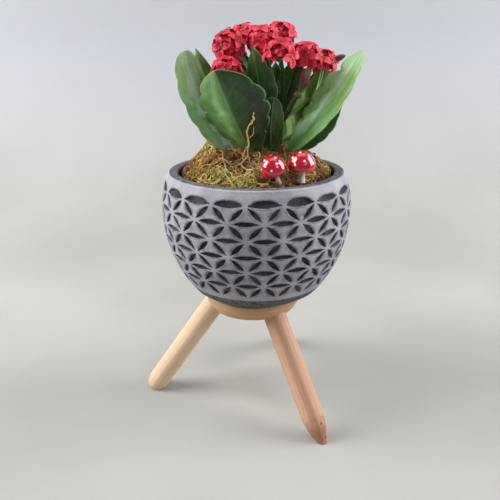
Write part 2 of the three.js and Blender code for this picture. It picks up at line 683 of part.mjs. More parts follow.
// One floret on its tube: four pointed petals round a sunken throat.
function floretSolid(core, at, spin, size) {
  const shell = new Shell();
  const out = at.clone().sub(core).normalize();
  const east = new THREE.Vector3(1, 0, 0).addScaledVector(out, -out.x).normalize();
  const north = out.clone().cross(east);
  const place = (radius, degrees, rise) => {
    const angle = rad(degrees) + spin;
    const point = at.clone().addScaledVector(out, rise);
    point.addScaledVector(east, radius * Math.cos(angle));
    return point.addScaledVector(north, radius * Math.sin(angle));
  };
  const upper = [];
  const lower = [];
  for (let petal = 0; petal < 4; petal += 1) {
    for (const [radius, degrees, rise] of PETAL) {
      upper.push(shell.add(place(radius * size, 90 * petal + degrees, rise * size)));
      lower.push(shell.add(place(radius * size, 90 * petal + degrees, rise * size - PETAL_THICK)));
    }
  }
  const throat = shell.add(place(0, 0, -THROAT_DEPTH));
  const neck = [0, 1, 2, 3].map((k) => shell.add(place(TUBE_RADIUS, 90 * k + 45, -NECK_DEPTH)));
  const reach = at.distanceTo(core);
  const root = [0, 1, 2, 3].map((k) => shell.add(place(TUBE_RADIUS * TUBE_TAPER, 90 * k + 45, -reach)));
  const count = upper.length;
  for (let i = 0; i < count; i += 1) {
    const next = (i + 1) % count;
    shell.face(throat, upper[i], upper[next]);
    shell.face(upper[i], lower[i], lower[next], upper[next]);
  }
  const perPetal = PETAL.length;
  for (let petal = 0; petal < 4; petal += 1) {
    const start = petal * perPetal;
    const before = neck[(petal + 3) % 4];
    const after = neck[petal];
    for (let i = 0; i < perPetal; i += 1) {
      shell.face(lower[(start + i + 1) % count], lower[start + i], i < perPetal / 2 ? before : after);
      if (i === perPetal / 2 - 1) shell.face(lower[start + i + 1], before, after);
    }
    shell.face(before, root[(petal + 3) % 4], root[petal], after);
  }
  shell.face(...root.slice().reverse());
  return shell.solid();
}

// A closed bud is a slim spindle on its stalk.
function budSolid(core, at) {
  const out = at.clone().sub(core).normalize();
  const shape = BUD_SHAPE.map(([ahead, radius]) => ({ at: at.clone().addScaledVector(out, ahead), radius }));
  return rod([{ at: core.clone(), radius: TUBE_RADIUS * TUBE_TAPER }, ...shape], 6);
}

// Where a head's florets stand: one at the top and the others in a ring round it.
function floretPlaces(head, random) {
  const tilt = new THREE.Quaternion().setFromUnitVectors(UP, vec(head.aim).normalize());
  const places = [];
  for (let i = 0; i < head.count; i += 1) {
    const polar = rad((i === 0 ? 0 : RING_TILT) + JITTER * (random() - 0.5));
    const turn = (2 * Math.PI * i) / (head.count - 1) + head.seed + rad(JITTER) * (random() - 0.5);
    const flat = Math.sin(polar);
    const out = new THREE.Vector3(flat * Math.cos(turn), flat * Math.sin(turn), Math.cos(polar));
    places.push(vec(head.core).addScaledVector(out.applyQuaternion(tilt), head.reach));
  }
  return places;
}

function headSolid(head) {
  const random = randomFrom(head.seed);
  const core = vec(head.core);
  const florets = floretPlaces(head, random).map((place) => {
    const spin = random() * Math.PI;
    return floretSolid(core, place, spin, 0.92 + 0.16 * random());
  });
  const buds = (head.buds ?? []).map((place) => budSolid(core, vec(place)));
  return joinAll([coreSolid(head), ...florets, ...buds]);
}

// Toadstool picks

function pickSolid(pick, grow = 0) {
  const foot = vec(pick.foot);
  const top = vec(pick.cap);
  const along = top.clone().sub(foot).normalize();
  return rod([
    { at: foot.clone().addScaledVector(along, -PICK_WIRE_LENGTH), radius: PICK_WIRE_RADIUS },
    { at: foot.clone().addScaledVector(along, -PICK_SHOULDER), radius: PICK_WIRE_RADIUS },
    { at: foot, radius: pick.stalk * PICK_FLARE },
    { at: top, radius: pick.stalk },
  ], PICK_SIDES, grow);
}

function capSolid(pick) {
  const top = vec(pick.cap);
  const r = pick.capRadius;
  const points = CAP_PROFILE.map(([out, up]) => new THREE.Vector2(out * r, up * r + CLEARANCE));
  const geometry = new THREE.LatheGeometry(points, CAP_SIDES);
  geometry.rotateX(Math.PI / 2);
  const along = top.clone().sub(vec(pick.foot)).normalize();
  geometry.applyQuaternion(new THREE.Quaternion().setFromUnitVectors(UP, along));
  geometry.translate(top.x, top.y, top.z);
  return toSolid(geometry);
}

// Assembly

const FINISHES = {
  cement: { color: 0x9d9ba0, roughness: 0.9 },
  wood: { color: 0xd2aa80, roughness: 0.6 },
  stem: { color: 0x4f6b35, roughness: 0.6 },
  leaf: { color: 0x4d7a41, roughness: 0.45 },
  petal: { color: 0xc8263c, roughness: 0.5 },
  pick: { color: 0xe9e2d2, roughness: 0.7 },
  cap: { color: 0xc4122e, roughness: 0.2 },
  soil: { color: 0x3a2c20, roughness: 1 },
  moss: { color: 0x8a7a3a, roughness: 1 },
};
const group = new THREE.Group();

function addNode(name, geometry, finish) {
  const material = new THREE.MeshStandardMaterial({ ...FINISHES[finish], metalness: 0 });
  const mesh = new THREE.Mesh(geometry, material);
  mesh.name = name;
  group.add(mesh);
}

addNode('bowl', bowlGeometry(), 'cement');
addNode('plate', toGeometry(plateSolid()), 'wood');
for (const leg of LEGS) addNode(leg.name, toGeometry(legSolid(leg)), 'wood');

const trunkSpace = trunkSolid(CLEARANCE);
addNode('stem', toGeometry(stemSolid()), 'stem');
for (const leaf of LEAVES) {
  addNode(leaf.name, toGeometry(mainPiece(leafSolid(leaf).subtract(trunkSpace))), 'leaf');
}
for (const head of HEADS) addNode(head.name, toGeometry(headSolid(head)), 'petal');
for (const pick of PICKS) {
  addNode(`${pick.name}_pick`, toGeometry(pickSolid(pick)), 'pick');
  addNode(`${pick.name}_cap`, toGeometry(capSolid(pick)), 'cap');
}
const planted = [trunkSpace, ...PICKS.map((pick) => pickSolid(pick, CLEARANCE))];
const rooted = LEAVES.map((leaf) => leafSolid(leaf, CLEARANCE));
addNode('soil', toGeometry(cutAll(soilSolid(), planted)), 'soil');
addNode('moss', toGeometry(mossSolid([...planted, ...rooted])), 'moss');

// The origin is on the ground, under the middle of the whole outline.
const outline = new THREE.Box3().setFromObject(group);
const middle = outline.getCenter(new THREE.Vector3());
group.position.set(-middle.x, -middle.y, -outline.min.z);
group.updateMatrixWorld(true);

export default group;
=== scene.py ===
import math

import bmesh
import bpy
import numpy as np
from mathutils import Matrix, Vector


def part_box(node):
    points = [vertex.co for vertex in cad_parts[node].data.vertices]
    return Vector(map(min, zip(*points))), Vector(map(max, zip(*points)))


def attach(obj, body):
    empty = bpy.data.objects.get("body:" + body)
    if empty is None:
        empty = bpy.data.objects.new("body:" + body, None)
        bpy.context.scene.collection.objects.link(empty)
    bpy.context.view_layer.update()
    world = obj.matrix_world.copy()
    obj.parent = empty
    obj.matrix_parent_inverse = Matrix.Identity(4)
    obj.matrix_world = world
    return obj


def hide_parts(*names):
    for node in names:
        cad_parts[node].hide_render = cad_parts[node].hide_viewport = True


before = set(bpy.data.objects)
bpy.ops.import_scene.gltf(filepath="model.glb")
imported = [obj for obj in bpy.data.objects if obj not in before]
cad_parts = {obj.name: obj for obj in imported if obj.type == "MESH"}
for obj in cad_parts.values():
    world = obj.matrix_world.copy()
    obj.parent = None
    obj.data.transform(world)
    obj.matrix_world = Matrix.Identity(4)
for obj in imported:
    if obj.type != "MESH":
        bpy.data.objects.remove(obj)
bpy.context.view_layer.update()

MM = 0.001
plate_low, plate_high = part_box("plate")
bowl_low, bowl_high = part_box("bowl")
STAND_X = -2.4
AXIS = np.array([(plate_low.x + plate_high.x) / 2 - STAND_X * MM, (plate_low.y + plate_high.y) / 2, 0])
CLEARANCE = 0.3
WELD = 0.002
GOLDEN_ANGLE = math.pi * (3 - math.sqrt(5))

# Stand: it is a little off the pot's axis.
PLATE_BOTTOM = plate_low.z / MM
PLATE_TOP = plate_high.z / MM
PLATE_OUTLINE = [(28, PLATE_BOTTOM), (30, 76.8), (31.6, 77.9), (34.2, 82.4), (35.1, 86.2), (34.9, 88),
                 (34.2, PLATE_TOP)]
PLATE_SIDES = 120
PLATE_ROWS = 40
PLATE_RINGS = 8
PLATE_SHARP = 35
SOCKET_TOP = 85.5
DRILL_REACH = 27
LEG_RADIUS = 8.2
LEG_INSET = 17
LEG_SIDES = 56
LEG_RINGS = 26
LEG_SHARP = 40
# Nose of a leg: the share of its length, and the shares of the leg's and of the tip's radius there
NOSE = [(0, 1, 0), (0.5, 0.6, 0.4), (0.88, 0, 1), (1.1, 0, 0.72)]
LEGS = [
    {"name": "leg_left", "azimuth": 178.5, "root": 29, "spread": 81, "nose": 8, "tip": 5.5},
    {"name": "leg_front", "azimuth": 306.5, "root": 26.2, "spread": 81.2, "nose": 18, "tip": 4},
    {"name": "leg_back", "azimuth": 69, "root": 27, "spread": 81.5, "nose": 12, "tip": 4.9},
]

# Bowl: outside it is two quarter ellipses that meet at the widest height.
BOWL_BOTTOM = bowl_low.z / MM
BOWL_TOP = bowl_high.z / MM
BOWL_RADIUS = 66.5
BOWL_WIDEST = 154
UPPER_RISE = 64
LOWER_DROP = 81
BOWL_WALL = 7
BOWL_FLOOR = 97
BOWL_SHARP = 50
FLOOR_RING = (20, BOWL_FLOOR)
DRAIN_RADIUS = 5
DRAIN_BEVEL = 0.6
FOOT_START = 95.5
FOOT_OUTLINE = [(44.7, 94.6), (42.4, 93.1), (39.4, 91.8), (36.4, 90.7), (34.4, 89.9), (32.4, BOWL_BOTTOM),
                (20, BOWL_BOTTOM), (DRAIN_RADIUS + DRAIN_BEVEL, BOWL_BOTTOM),
                (DRAIN_RADIUS, BOWL_BOTTOM + DRAIN_BEVEL)]
# Foot rows nearer the axis than this are inked dark: a painted contact shadow where the foot sits on the
# plate.
CONTACT_SHADOW_RADIUS = 38
COLLAR_DROP = 3
COLLAR_ROWS = 5
BARE_ROWS = 9
# The lip is two arcs with a flat between them, as rows of how far out and up from the top of the outside.
# An arc is its middle and its reach.
LIP_OUTSIDE = [(-2.2, -1.7), (2.6, 1.7)]
LIP_FLAT = [(-3.6, -0.02), (-5, -0.1)]
LIP_INSIDE = [(1.2 - BOWL_WALL, -1.5), (1.2, 1.35)]
INSIDE_HEIGHTS = [174, 168, 160, 150, 138, 126, 114, 106, 101]
# The hollow's lower corner: how far inward from the wall, and the height
INSIDE_CORNER = [(2, 98.2), (5, BOWL_FLOOR)]

# Carving: a triangular lattice of stars, each of six lens-shaped strokes.
COLUMNS = 18
COLUMN_WIDTH = 2 * math.pi * BOWL_RADIUS / COLUMNS
BANDS = 6
FIRST_COLUMN = -95.5
TOP_ROW = 170.5
ROW_STEP = 11.05
STEPS = 14
GAP_STEPS = 2
TOP_GAP_STEPS = 1
STROKE_HALF = 1.65
STROKE_SPREAD = 0.14
TOP_STROKE_HALF = 3.3
FULLNESS = 2
TOP_FULLNESS = 2.7
TOP_SPREAD = 0.22
STROKE_DEPTH = 1.5
FULL_DEPTH_HALF = 0.8
STROKE_EDGE = 0.35
FULL_EDGE_HALF = 0.5
# Paint residue and painted shade beside a stroke: how fast they fall away from it.
RESIDUE_AND_SHADE_FALL = 7
# Section of a stroke, from its edge inward: the shares of its half width, its depth and its paint
STROKE_SECTION = [(0.94, 0.3, 0.5), (0.78, 0.85, 1), (0.4, 1, 1)]

# Filling. A hump is its middle, and how far it spreads each way, squared.
SOIL_TOP = 168
MOSS_RADIUS = 53.6
MOSS_EDGE = 175.5
MOSS_RISE = 17
MOSS_RINGS = 56
MOSS_SIDES = 168
FRONT_DROP = 0.47
FRONT_START = 14
FRONT_RUN = 30
KNOLL = (-29, 2, 110, 110)
KNOLL_RISE = 18
PICK_HEAPS = [(3.4, (30, -45, 50, 50)), (2.2, (14, -49, 30, 30)), (2, (21, -42, 40, 40))]
CLUMP_RISE = 1.5
CLUMP_SIZE = 13
MOUND_SINK = 2
MOUND_RISE = 0.7
MOUND_SIZE = 4.1
GREEN_FRONT = (-17, -44, 300, 180)
GREEN_CREST = (-31, -6, 70, 70)
GREEN_SIZE = 36
PALE_SIZE = 21

# Strands of moss
MOSS_REACH = 50.3
REACH_SPREAD = 0.9
STRAND_SINK = 2.2
ARCH_START = 0.1
ARCH_SPAN = 0.82
WANDER = 0.3
GREEN_SPREAD = 0.25
PALE_SPREAD = 0.2
TINT_SPREAD = 0.09
STRAND_TAPER = 0.7
STANDING_STATIONS = 60
STANDING_SIDES = 6
STANDING_TAPER = 0.55
STANDING_STRAND = [(-4.2, -27, 190), (-5.5, -31, 197), (-4.7, -34, 203.2), (-5.3, -36.5, 207),
                   (-5.6, -38, 211.9), (-3.8, -38.5, 214.9), (-2.3, -39, 217.4), (-1.3, -39, 220.4),
                   (-1.8, -39, 222.6)]
STANDING_FORK = [(-5.1, -36, 206.4), (-3.6, -37, 207.2), (-2.2, -37.6, 209), (-1.3, -37.8, 211.6),
                 (-2, -38, 213.6)]
STANDING_LOW = [(-8, -28, 190), (-8.5, -32, 195), (-6.5, -35, 199.5), (-4.5, -36, 203), (-5.5, -36.5, 206)]
# Standing strands: their points, thickness, the width of their curls and how often they turn
STANDING = [(STANDING_STRAND, 0.44, 0.5, 4), (STANDING_STRAND[1:8], 0.3, 0.9, 5.5),
            (STANDING_FORK, 0.3, 0.4, 2), (STANDING_LOW, 0.36, 0.7, 3)]

# Leaves repeat the frame's: the root, bend and tip of the midrib, the way the upper side looks, half the
# width, how steeply the halves rise, the teeth a side and the share that is stalk, and how light the green
# is, its own green together with painted light and shade. Left and right are seen from above, with the root
# near. Next comes how much lighter the right half is, as painted light, and fade the tip. Notch is how much
# deeper than usual the left and the right teeth are, and slim how wide the halves are beside their usual
# width. Last comes where across the blade a strip of painted sheen lies, and how light it is.
TOOTH_START = 0.3
TOOTH_CUT = 0.13
SLIM_START = 0.2
SLIM_RUN = 0.4
STALK_HALF = 2.6
LEAST_HALF = 0.5
BLADE_MIDDLE = 2
BLADE_EDGE = 0.5
FOLD_DRAW = 0.93
FOLD_ROUNDING = 1.12
PAINTED_SHEEN_HALF = 0.24
LEAF_VEINS = 8
VEIN_SLANT = 1.6
VEIN_BEND = 0.8
PUFF_RISE = 0.22
PUFF_DROP = 0.15
RIB_HALF = 1.1
WAVE_RISE = 0.5
WAVES = 1.7
LEAF_ROWS = 90
LEAF_COLUMNS = 29
BROAD = {"teeth": 4, "widest": 1.25, "blunt": 0.6, "stalk": 0.18}
LONG = {"teeth": 4, "widest": 1.1, "blunt": 0.75, "stalk": 0.16}
SMALL = {"teeth": 2, "widest": 1, "blunt": 0.8, "stalk": 0.15}
EVEN = {"cast": 0, "fade": 0, "notch": (1, 1), "slim": (1, 1), "gleam": (0, 0), "young": False}


def leaf(name, root, bend, tip, face, half, fold, kind, tone, **other):
    """One row of the table of leaves."""
    shape = {"name": name, "root": root, "bend": bend, "tip": tip, "face": face, "half": half, "fold": fold}
    return {**EVEN, **shape, **kind, "tone": tone, **other}


LEAVES = [
    leaf("leaf_far_left", (8, 2, 182), (-36.5, -5, 203), (-45.2, -4, 257.6), (0.5, -0.75, 0.4), 17.5, 0.15,
         LONG, 1.12, widest=1.35, blunt=0.35, slim=(1, 0.6), gleam=(-0.1, 0.6)),
    leaf("leaf_left_inner", (9, 6, 190), (-25, 18, 198), (-41.6, 24, 258.4), (0.7, -0.6, 0.3), 12.5, 0.25,
         LONG, 0.62),
    leaf("leaf_front_left", (8, -2, 184), (-9.9, -22, 197.5), (-24.7, -34, 246.6), (0.3, 0.9, 0.3), 26, 0.32,
         BROAD, 0.34, widest=1.6, cast=0.32, fade=0.1, notch=(1, 1.8), gleam=(0.28, 0.3)),
    leaf("leaf_front", (12, -2, 189), (8, -12, 198), (11, -20, 229.6), (0, 1, 0.3), 9.2, 0.25, BROAD, 0.14,
         widest=1.35, blunt=0.45),
    leaf("leaf_pointed", (12, 0, 198), (5, -9, 216), (-1.8, -14, 260), (0.3, 1, 0.2), 11.8, 0.2, LONG, 0.2,
         widest=1.4, blunt=1, fade=0.5),
    leaf("leaf_right_inner", (16, 5, 198), (31.3, 9, 197), (44.5, 5, 251), (-0.7, -0.4, 0.5), 12, 0.4, LONG,
         0.75, widest=0.9, blunt=1.1, young=True),
    leaf("leaf_far_right", (15, -2, 186), (36, -21, 209), (67.7, -10, 257.3), (-0.45, -0.25, 0.1), 16.5, 0.1,
         LONG, 0.95, widest=1.35, blunt=0.5, fade=0.4, notch=(3.6, 1), gleam=(-0.1, 0.35)),
    leaf("leaf_right_low", (16, 4, 184), (34, 5, 193), (59.3, 8, 223.8), (-0.3, -0.6, 0.7), 14, 0.25, LONG,
         0.15, widest=1.3, blunt=1.1),
    leaf("leaf_back_left", (11, 6, 185), (2, 30, 194), (-8, 47, 245), (0.2, -0.9, 0.3), 19, 0.3, BROAD, 0.35),
    leaf("leaf_back_right", (15, 6, 190), (36, 32, 197), (52, 42, 244), (-0.6, -0.7, 0.3), 18, 0.3, BROAD,
         0.4),
    leaf("leaf_back", (14, 7, 194), (20, 28, 202), (24, 40, 238), (0, -1, 0.4), 13, 0.3, BROAD, 0.35),
]

# Stem: rows of the trunk's centre line and radius, and the small leaves under the flowers.
TRUNK = [(12, 3, 150, 4.2), (12, 3, 175, 4.4), (14, 2, 200, 4), (17.5, 2, 224, 3.2)]
TRUNK_ROWS = 60
TRUNK_SIDES = 28
NODE_STEP = 12
NODE_SWELL = 0.1
BRANCH_ROWS = 26
BRANCH_SIDES = 12
BRANCH_RADIUS = 1.6
BRANCH_TAPER = 0.5
BRANCH_SAG = 3
JOINT_PLACE = 0.55
JOINT_SWELL = 0.35
BRACT_ROWS = 50
BRACT_COLUMNS = 17
BRACTS = [
    leaf("", (16, 3, 216), (2, 7, 230), (-9, 5, 256), (0.3, -0.8, 0.6), 8, 0.3, SMALL, 0.05),
    leaf("", (17.5, 3, 221), (22, 6, 232), (26, 4, 252), (0, -1, 0.2), 9, 0.3, SMALL, 0),
    leaf("", (16.5, 3, 219), (13, 8, 230), (13, 8, 250), (0.1, -1, 0.2), 7, 0.3, SMALL, 0),
    leaf("", (17, 3, 217), (28, 8, 228), (38.5, 10, 249.5), (-0.6, -0.7, 0.4), 6.5, 0.3, SMALL, 0.75),
    leaf("", (17, 3, 213), (33, 12, 222), (46, 16, 244), (-0.5, -0.8, 0.4), 6, 0.3, SMALL, 0.9),
]

# Flower heads repeat the frame's, and get smaller florets, the fillers, between those of the frame. Tilts
# and jitter are in degrees; turns, rolls and openings are in radians. Lowest is the height of the lowest
# direction, of length 1, in which a filler may point.
CORE_RADIUS = 2.6
CORE_ROWS = 9
CORE_SIDES = 16
CORE_SHADE = 0.4
RING_TILT = 62
JITTER = 16
RANDOM_FACTOR = 1664525
RANDOM_STEP = 1013904223
FILLERS = [
    {"tilt": 31, "count": 4, "share": 0.9, "size": 0.76},
    {"tilt": 50, "count": 6, "share": 0.84, "size": 0.72},
    {"tilt": 76, "count": 7, "share": 0.9, "size": 0.76},
    {"tilt": 100, "count": 6, "share": 0.88, "size": 0.8},
]
FILLER_TILT = 8
FILLER_TURN = 0.2
FILLER_REACH = 0.5
FLORET_SINK = 0.75
PETALS = 4
PETAL_START = 0.9
PETAL_REACH = 6.9
PETAL_HALF = 2.5
PETAL_ROWS = 7
PETAL_COLUMNS = 7
PETAL_ROLL = 0.16
PETAL_TURN = 0.07
PETAL_SHADE = 0.12
OPENING = (-0.12, 0.1)
TUBE_SIDES = 8
CALYX_DEPTH = 6.2
THROAT = -1.2
# Tube of a floret: rows of radius, height and how far out along a petal its colour is
TUBE = [(0.8, -CALYX_DEPTH, 0.5), (1.35, 1.6 - CALYX_DEPTH, 0.5), (1.2, -3.4, 0.45), (1.15, -2, 0.4),
        (1.25, -0.85, 0.3), (0.9, -0.8, 0.05), (0.5, -1.1, 0.02)]
SEPAL_RADII = np.array([0.85, 0.78, 0.5, 0.08]) * 0.7
SEPAL_RISE = 3.4
THIN_SIDES = 4
ANTHER_RADII = np.array([0.16, 0.24, 0.1])
ANTHER_PLACE = 0.45
ANTHER_STEPS = (-1.0, -0.75, -0.5)
PEDICEL_RADIUS = 0.65
PEDICEL_SIDES = 6
PEDICEL_START = 1.2
BUD_FOOT = -5
BUD_END = 4.05
BUD_OUTLINE = [(1.1, BUD_FOOT), (1.9, -3), (2.15, -1), (1.9, 1.2), (1.1, 3), (0.3, 4)]
BUD_ROWS = 22
BUD_SIDES = 24
BUD_SEAM = 0.12
BUD_STALK_SIDES = 9


def head(name, start, core, aim, count, reach, seed, via=None, buds=(), lowest=-0.35):
    """One row of the table of flower heads."""
    return {"name": name, "from": start, "core": core, "aim": aim, "count": count, "reach": reach,
            "seed": seed, "via": via, "buds": buds, "lowest": lowest}


HEADS = [
    head("flowers_left_low", (15, 2, 206), (-18.5, -19, 244), (-0.3, -0.3, 1), 5, 10.5, 11, (-20, 8, 224)),
    head("flowers_left", (16.5, 2, 219), (-17, -3, 259), (-0.4, -0.3, 1), 5, 11, 12),
    head("flowers_top_left", (17.5, 2, 223), (-7, 17, 264), (-0.2, 0, 1), 4, 11, 13),
    head("flowers_centre", (17.5, 2, 223), (4, -2.5, 261.8), (0, -0.3, 1), 5, 11, 14),
    head("flowers_top", (17.5, 2, 223), (16, 16, 264.5), (0, 0, 1), 5, 11, 15),
    head("flowers_front", (17.5, 2, 221), (15, -22, 253.5), (0, -0.5, 1), 4, 11, 16, (19, -4, 240),
         lowest=0.15),
    head("flowers_right", (17, 2, 217), (31.5, -8, 252), (0.1, -0.4, 1), 5, 11, 17),
    head("flowers_far_right", (16.5, 2, 213), (45, 10, 248), (0.3, -0.1, 1), 4, 10, 18, (29, 24, 228),
         [(55.7, 7, 252.5)]),
    head("flowers_back_left", (16, 2, 215), (-17, 31, 250), (-0.4, 0.5, 1), 4, 11, 19),
    head("flowers_back", (17, 2, 220), (8, 38, 254), (0, 0.6, 1), 4, 11, 20),
    head("flowers_back_right", (16.5, 2, 211), (32, 33, 251), (0.3, 0.5, 1), 4, 11, 21),
    head("buds_right", (15.5, 2, 209), (27, -9, 230), (0, 0, 1), 0, 11, 22, None,
         [(30, -13, 243), (32, -12, 238)]),
]

# Toadstool picks. The cap's outline is in shares of its radius. The stalk's rows are the share of its
# radius, the share of its length and millimetres beyond that.
CAP_OUTLINE = [(0, 0.06), (0.62, 0.03), (0.9, 0.07), (1, 0.3), (0.98, 0.62), (0.84, 1), (0.6, 1.3),
               (0.3, 1.46), (0, 1.5)]
CAP_HEIGHT = 1.5
CAP_MIDDLE = 0.45
CAP_SIDES = 120
CAP_RINGS = 64
SPOT_COUNT = 15
SPOT_REACH = 0.088
SPOT_RISE = 0.22
SPOT_SPAN = 0.9
SPOT_LOWEST = 0.35
SPOT_TURN = 0.25
STALK_OUTLINE = [(1.1, 0, -0.6), (1.15, 0, 0), (1.02, 0.4, 0), (0.96, 0.75, 0), (1, 1, 0)]
STALK_ROWS = 36
STALK_SIDES = 40
STALK_SHARP = 50
WIRE_RADIUS = 0.8
WIRE_START = -30
WIRE_BEVEL = 0.2
WIRE_END = -1
PICKS = [
    {"name": "toadstool_left", "foot": (14.2, -45, 180), "cap": (12.1, -45.5, 185.5), "radius": 8.1,
     "stalk": 1.5, "seed": 1},
    {"name": "toadstool_right", "foot": (28.2, -41, 180), "cap": (28.3, -40.5, 186.2), "radius": 8.6,
     "stalk": 2.3, "seed": 2},
]

# Camera: its eye, and how it turns from looking along +Y
EYE = (0, -386, 263.2)
CAMERA_YAW = -0.69
CAMERA_PITCH = 20.49
CAMERA_ROLL = -0.32
LENS = 40.31
SENSOR = 36
CLIP = (0.01, 20)

# Studio, in metres. Lights: name, place, aim, size, power and colour
WHITE = (1, 1, 1)
AIM = (0, 0, 0.15)
LIGHTS = [
    ("left_softbox", (-0.95, -0.05, 0.7), AIM, (0.7, 0.9), 19, WHITE),
    ("right_softbox", (0.95, 0.05, 0.65), AIM, (0.7, 0.9), 14, WHITE),
    ("top_softbox", (0, 0.1, 1.4), AIM, (1.2, 0.8), 5.5, WHITE),
    ("front_softbox", (0.5, -0.75, 0.75), (0, 0, 0.2), (0.35, 0.35), 2.2, (0.84, 0.92, 1)),
]
WORLD_POWER = 0.2
FLOOR_FRONT = -2.5
FLOOR_MIDDLE = [(-0.5, 0), (0, 0)]
WALL_PLACE = 0.3
WALL_CURVE = 0.3
WALL_TOP = 3
BACKDROP_HALF = 3
BACKDROP_COLUMNS = 7
CURVE_ROWS = 20


def unit(vectors):
    """The vectors at length 1."""
    return vectors / np.linalg.norm(vectors, axis=-1, keepdims=True)


def stacked(*parts):
    """Numbers or arrays beside each other along a new last axis."""
    return np.stack(np.broadcast_arrays(*parts), -1)


def circle(count):
    """Angles spread evenly round a circle."""
    return 2 * np.pi * np.arange(count) / count


def round_axis(radius, angle, height):
    """Points from their radius, angle and height round the +Z axis."""
    return stacked(radius * np.cos(angle), radius * np.sin(angle), height)


def turn_to(direction):
    """The matrix that turns +Z to a direction."""
    return np.array(Vector((0, 0, 1)).rotation_difference(Vector(direction)).to_matrix())


def turned(points, axis, angle):
    return points @ np.array(Matrix.Rotation(angle, 3, axis)).T


def smooth_path(points, count):
    """A smooth curve through points, with count points spread evenly by number."""
    knots = np.array(points, float)
    padded = np.vstack([2 * knots[0] - knots[1], knots, 2 * knots[-1] - knots[-2]])
    place = np.linspace(0, len(knots) - 1, count)
    first = np.minimum(place.astype(int), len(knots) - 2)
    t = (place - first)[:, None]
    a, b, c, d = (padded[first + i] for i in range(4))
    return 0.5 * (2 * b + (c - a) * t + (2 * a - 5 * b + 4 * c - d) * t**2 + (3 * b - a - 3 * c + d) * t**3)


def bezier(root, bend, tip, s):
    """Points and directions along a quadratic curve."""
    root, bend, tip = (np.array(p, float) for p in (root, bend, tip))
    s = s[:, None]
    at = (1 - s) ** 2 * root + 2 * s * (1 - s) * bend + s**2 * tip
    return at, unit((1 - s) * (bend - root) + s * (tip - bend))


class Form:
    """Patches of points and faces that become one mesh, with three marks kept for each point."""

    def __init__(self):
        self.points = []
        self.marks = []
        self.faces = {4: [], 3: []}
        self.inks = {4: [], 3: []}
        self.total = 0

    def add(self, points, marks=(0, 0, 0)):
        """Adds points of any array shape and gives back their numbers in that shape."""
        points = np.asarray(points, float)
        self.points.append(points.reshape(-1, 3))
        self.marks.append(np.broadcast_to(np.asarray(marks, float), points.shape).reshape(-1, 3))
        numbers = np.arange(self.total, self.total + points.size // 3).reshape(points.shape[:-1])
        self.total += numbers.size
        return numbers

    def add_faces(self, corners, ink=0):
        """Adds faces from the numbers of their three or four corners, the last axis of corners."""
        sides = corners.shape[-1]
        self.faces[sides] += corners.reshape(-1, sides).tolist()
        self.inks[sides] += np.broadcast_to(ink, corners.shape[:-1]).reshape(-1).tolist()

    def grid(self, points, marks=(0, 0, 0), around=False, ink=0):
        """A patch of rows and columns, the last two axes of points, closed across its columns if around."""
        numbers = self.add(points, marks)
        wide = np.concatenate([numbers, numbers[..., :1]], axis=-1) if around else numbers
        near, far = wide[..., :-1, :], wide[..., 1:, :]
        self.add_faces(stacked(near[..., :-1], near[..., 1:], far[..., 1:], far[..., :-1]), ink)
        return numbers

    def close(self, ring, centre, marks=(0, 0, 0), start=False, ink=0):
        """Closes rings, the last axis of ring, with triangles to their centres."""
        middle = self.add(centre, marks)[..., None]
        after = np.roll(ring, -1, axis=-1)
        self.add_faces(stacked(middle, after, ring) if start else stacked(middle, ring, after), ink)

    def tubes(self, paths, radii, sides, marks=(0, 0, 0), ink=0, reference=(0.31, 0.2, 0.93)):
        """Closed round tubes along many paths, an array of tubes by stations by 3."""
        along = unit(np.gradient(paths, axis=-2))
        across = unit(np.cross(along, reference))
        third = np.cross(along, across)
        angle = circle(sides)[:, None]
        rings = across[..., None, :] * np.cos(angle) + third[..., None, :] * np.sin(angle)
        radii = np.broadcast_to(radii, paths.shape[:-1])[..., None, None]
        marks = np.broadcast_to(marks, paths.shape)
        numbers = self.grid(paths[..., None, :] + rings * radii, marks[..., None, :], around=True, ink=ink)
        for end, start in ((0, True), (-1, False)):
            self.close(numbers[..., end, :], paths[..., end, :], marks[..., end, :], start, ink)

    def lathe(self, outline, sides, base=(0, 0, 0), direction=(0, 0, 1), marks=None, ink=0):
        """Turns an outline, from the axis to the axis, round a direction.

        The marks of a point are its place before it is turned that way, if none are given."""
        outline = np.asarray(outline, float)
        turn = turn_to(direction)
        local = round_axis(outline[1:-1, :1], circle(sides), outline[1:-1, 1:])
        marks = local if marks is None else np.broadcast_to(marks, local.shape)
        numbers = self.grid(local @ turn.T + base, marks, around=True, ink=ink)
        for end, start in ((0, True), (-1, False)):
            self.close(numbers[end], turn[:, 2] * outline[end, 1] + base, marks[end, 0], start, ink)

    def piece(self, name, looks, loose=False, weld=False, sharp=None):
        """Makes the mesh object, in metres in the frame, riding on the root body.

        A loose one only adds to the frame. Any other replaces the node of its name."""
        full_name = name if loose else name + "_fine"
        mesh = bpy.data.meshes.new(full_name)
        points = np.concatenate(self.points) * MM + AXIS
        mesh.from_pydata(points.tolist(), [], self.faces[4] + self.faces[3])
        mesh.polygons.foreach_set("material_index", self.inks[4] + self.inks[3])
        marks = mesh.attributes.new("marks", "FLOAT_VECTOR", "POINT")
        marks.data.foreach_set("vector", np.concatenate(self.marks).astype(np.float32).ravel())
        for look in looks:
            mesh.materials.append(look)
        if weld:
            weld_points(mesh)
        mesh.shade_smooth()
        if sharp:
            mesh.set_sharp_from_angle(angle=math.radians(sharp))
        made = bpy.data.objects.new(full_name, mesh)
        bpy.context.scene.collection.objects.link(made)
        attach(made, "root")
        if not loose:
            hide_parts(name)
        return made


def weld_points(mesh):
    """Joins points that lie together and drops the faces that this leaves without area."""
    work = bmesh.new()
    work.from_mesh(mesh)
    bmesh.ops.remove_doubles(work, verts=work.verts, dist=WELD * MM)
    work.to_mesh(mesh)
    work.free()


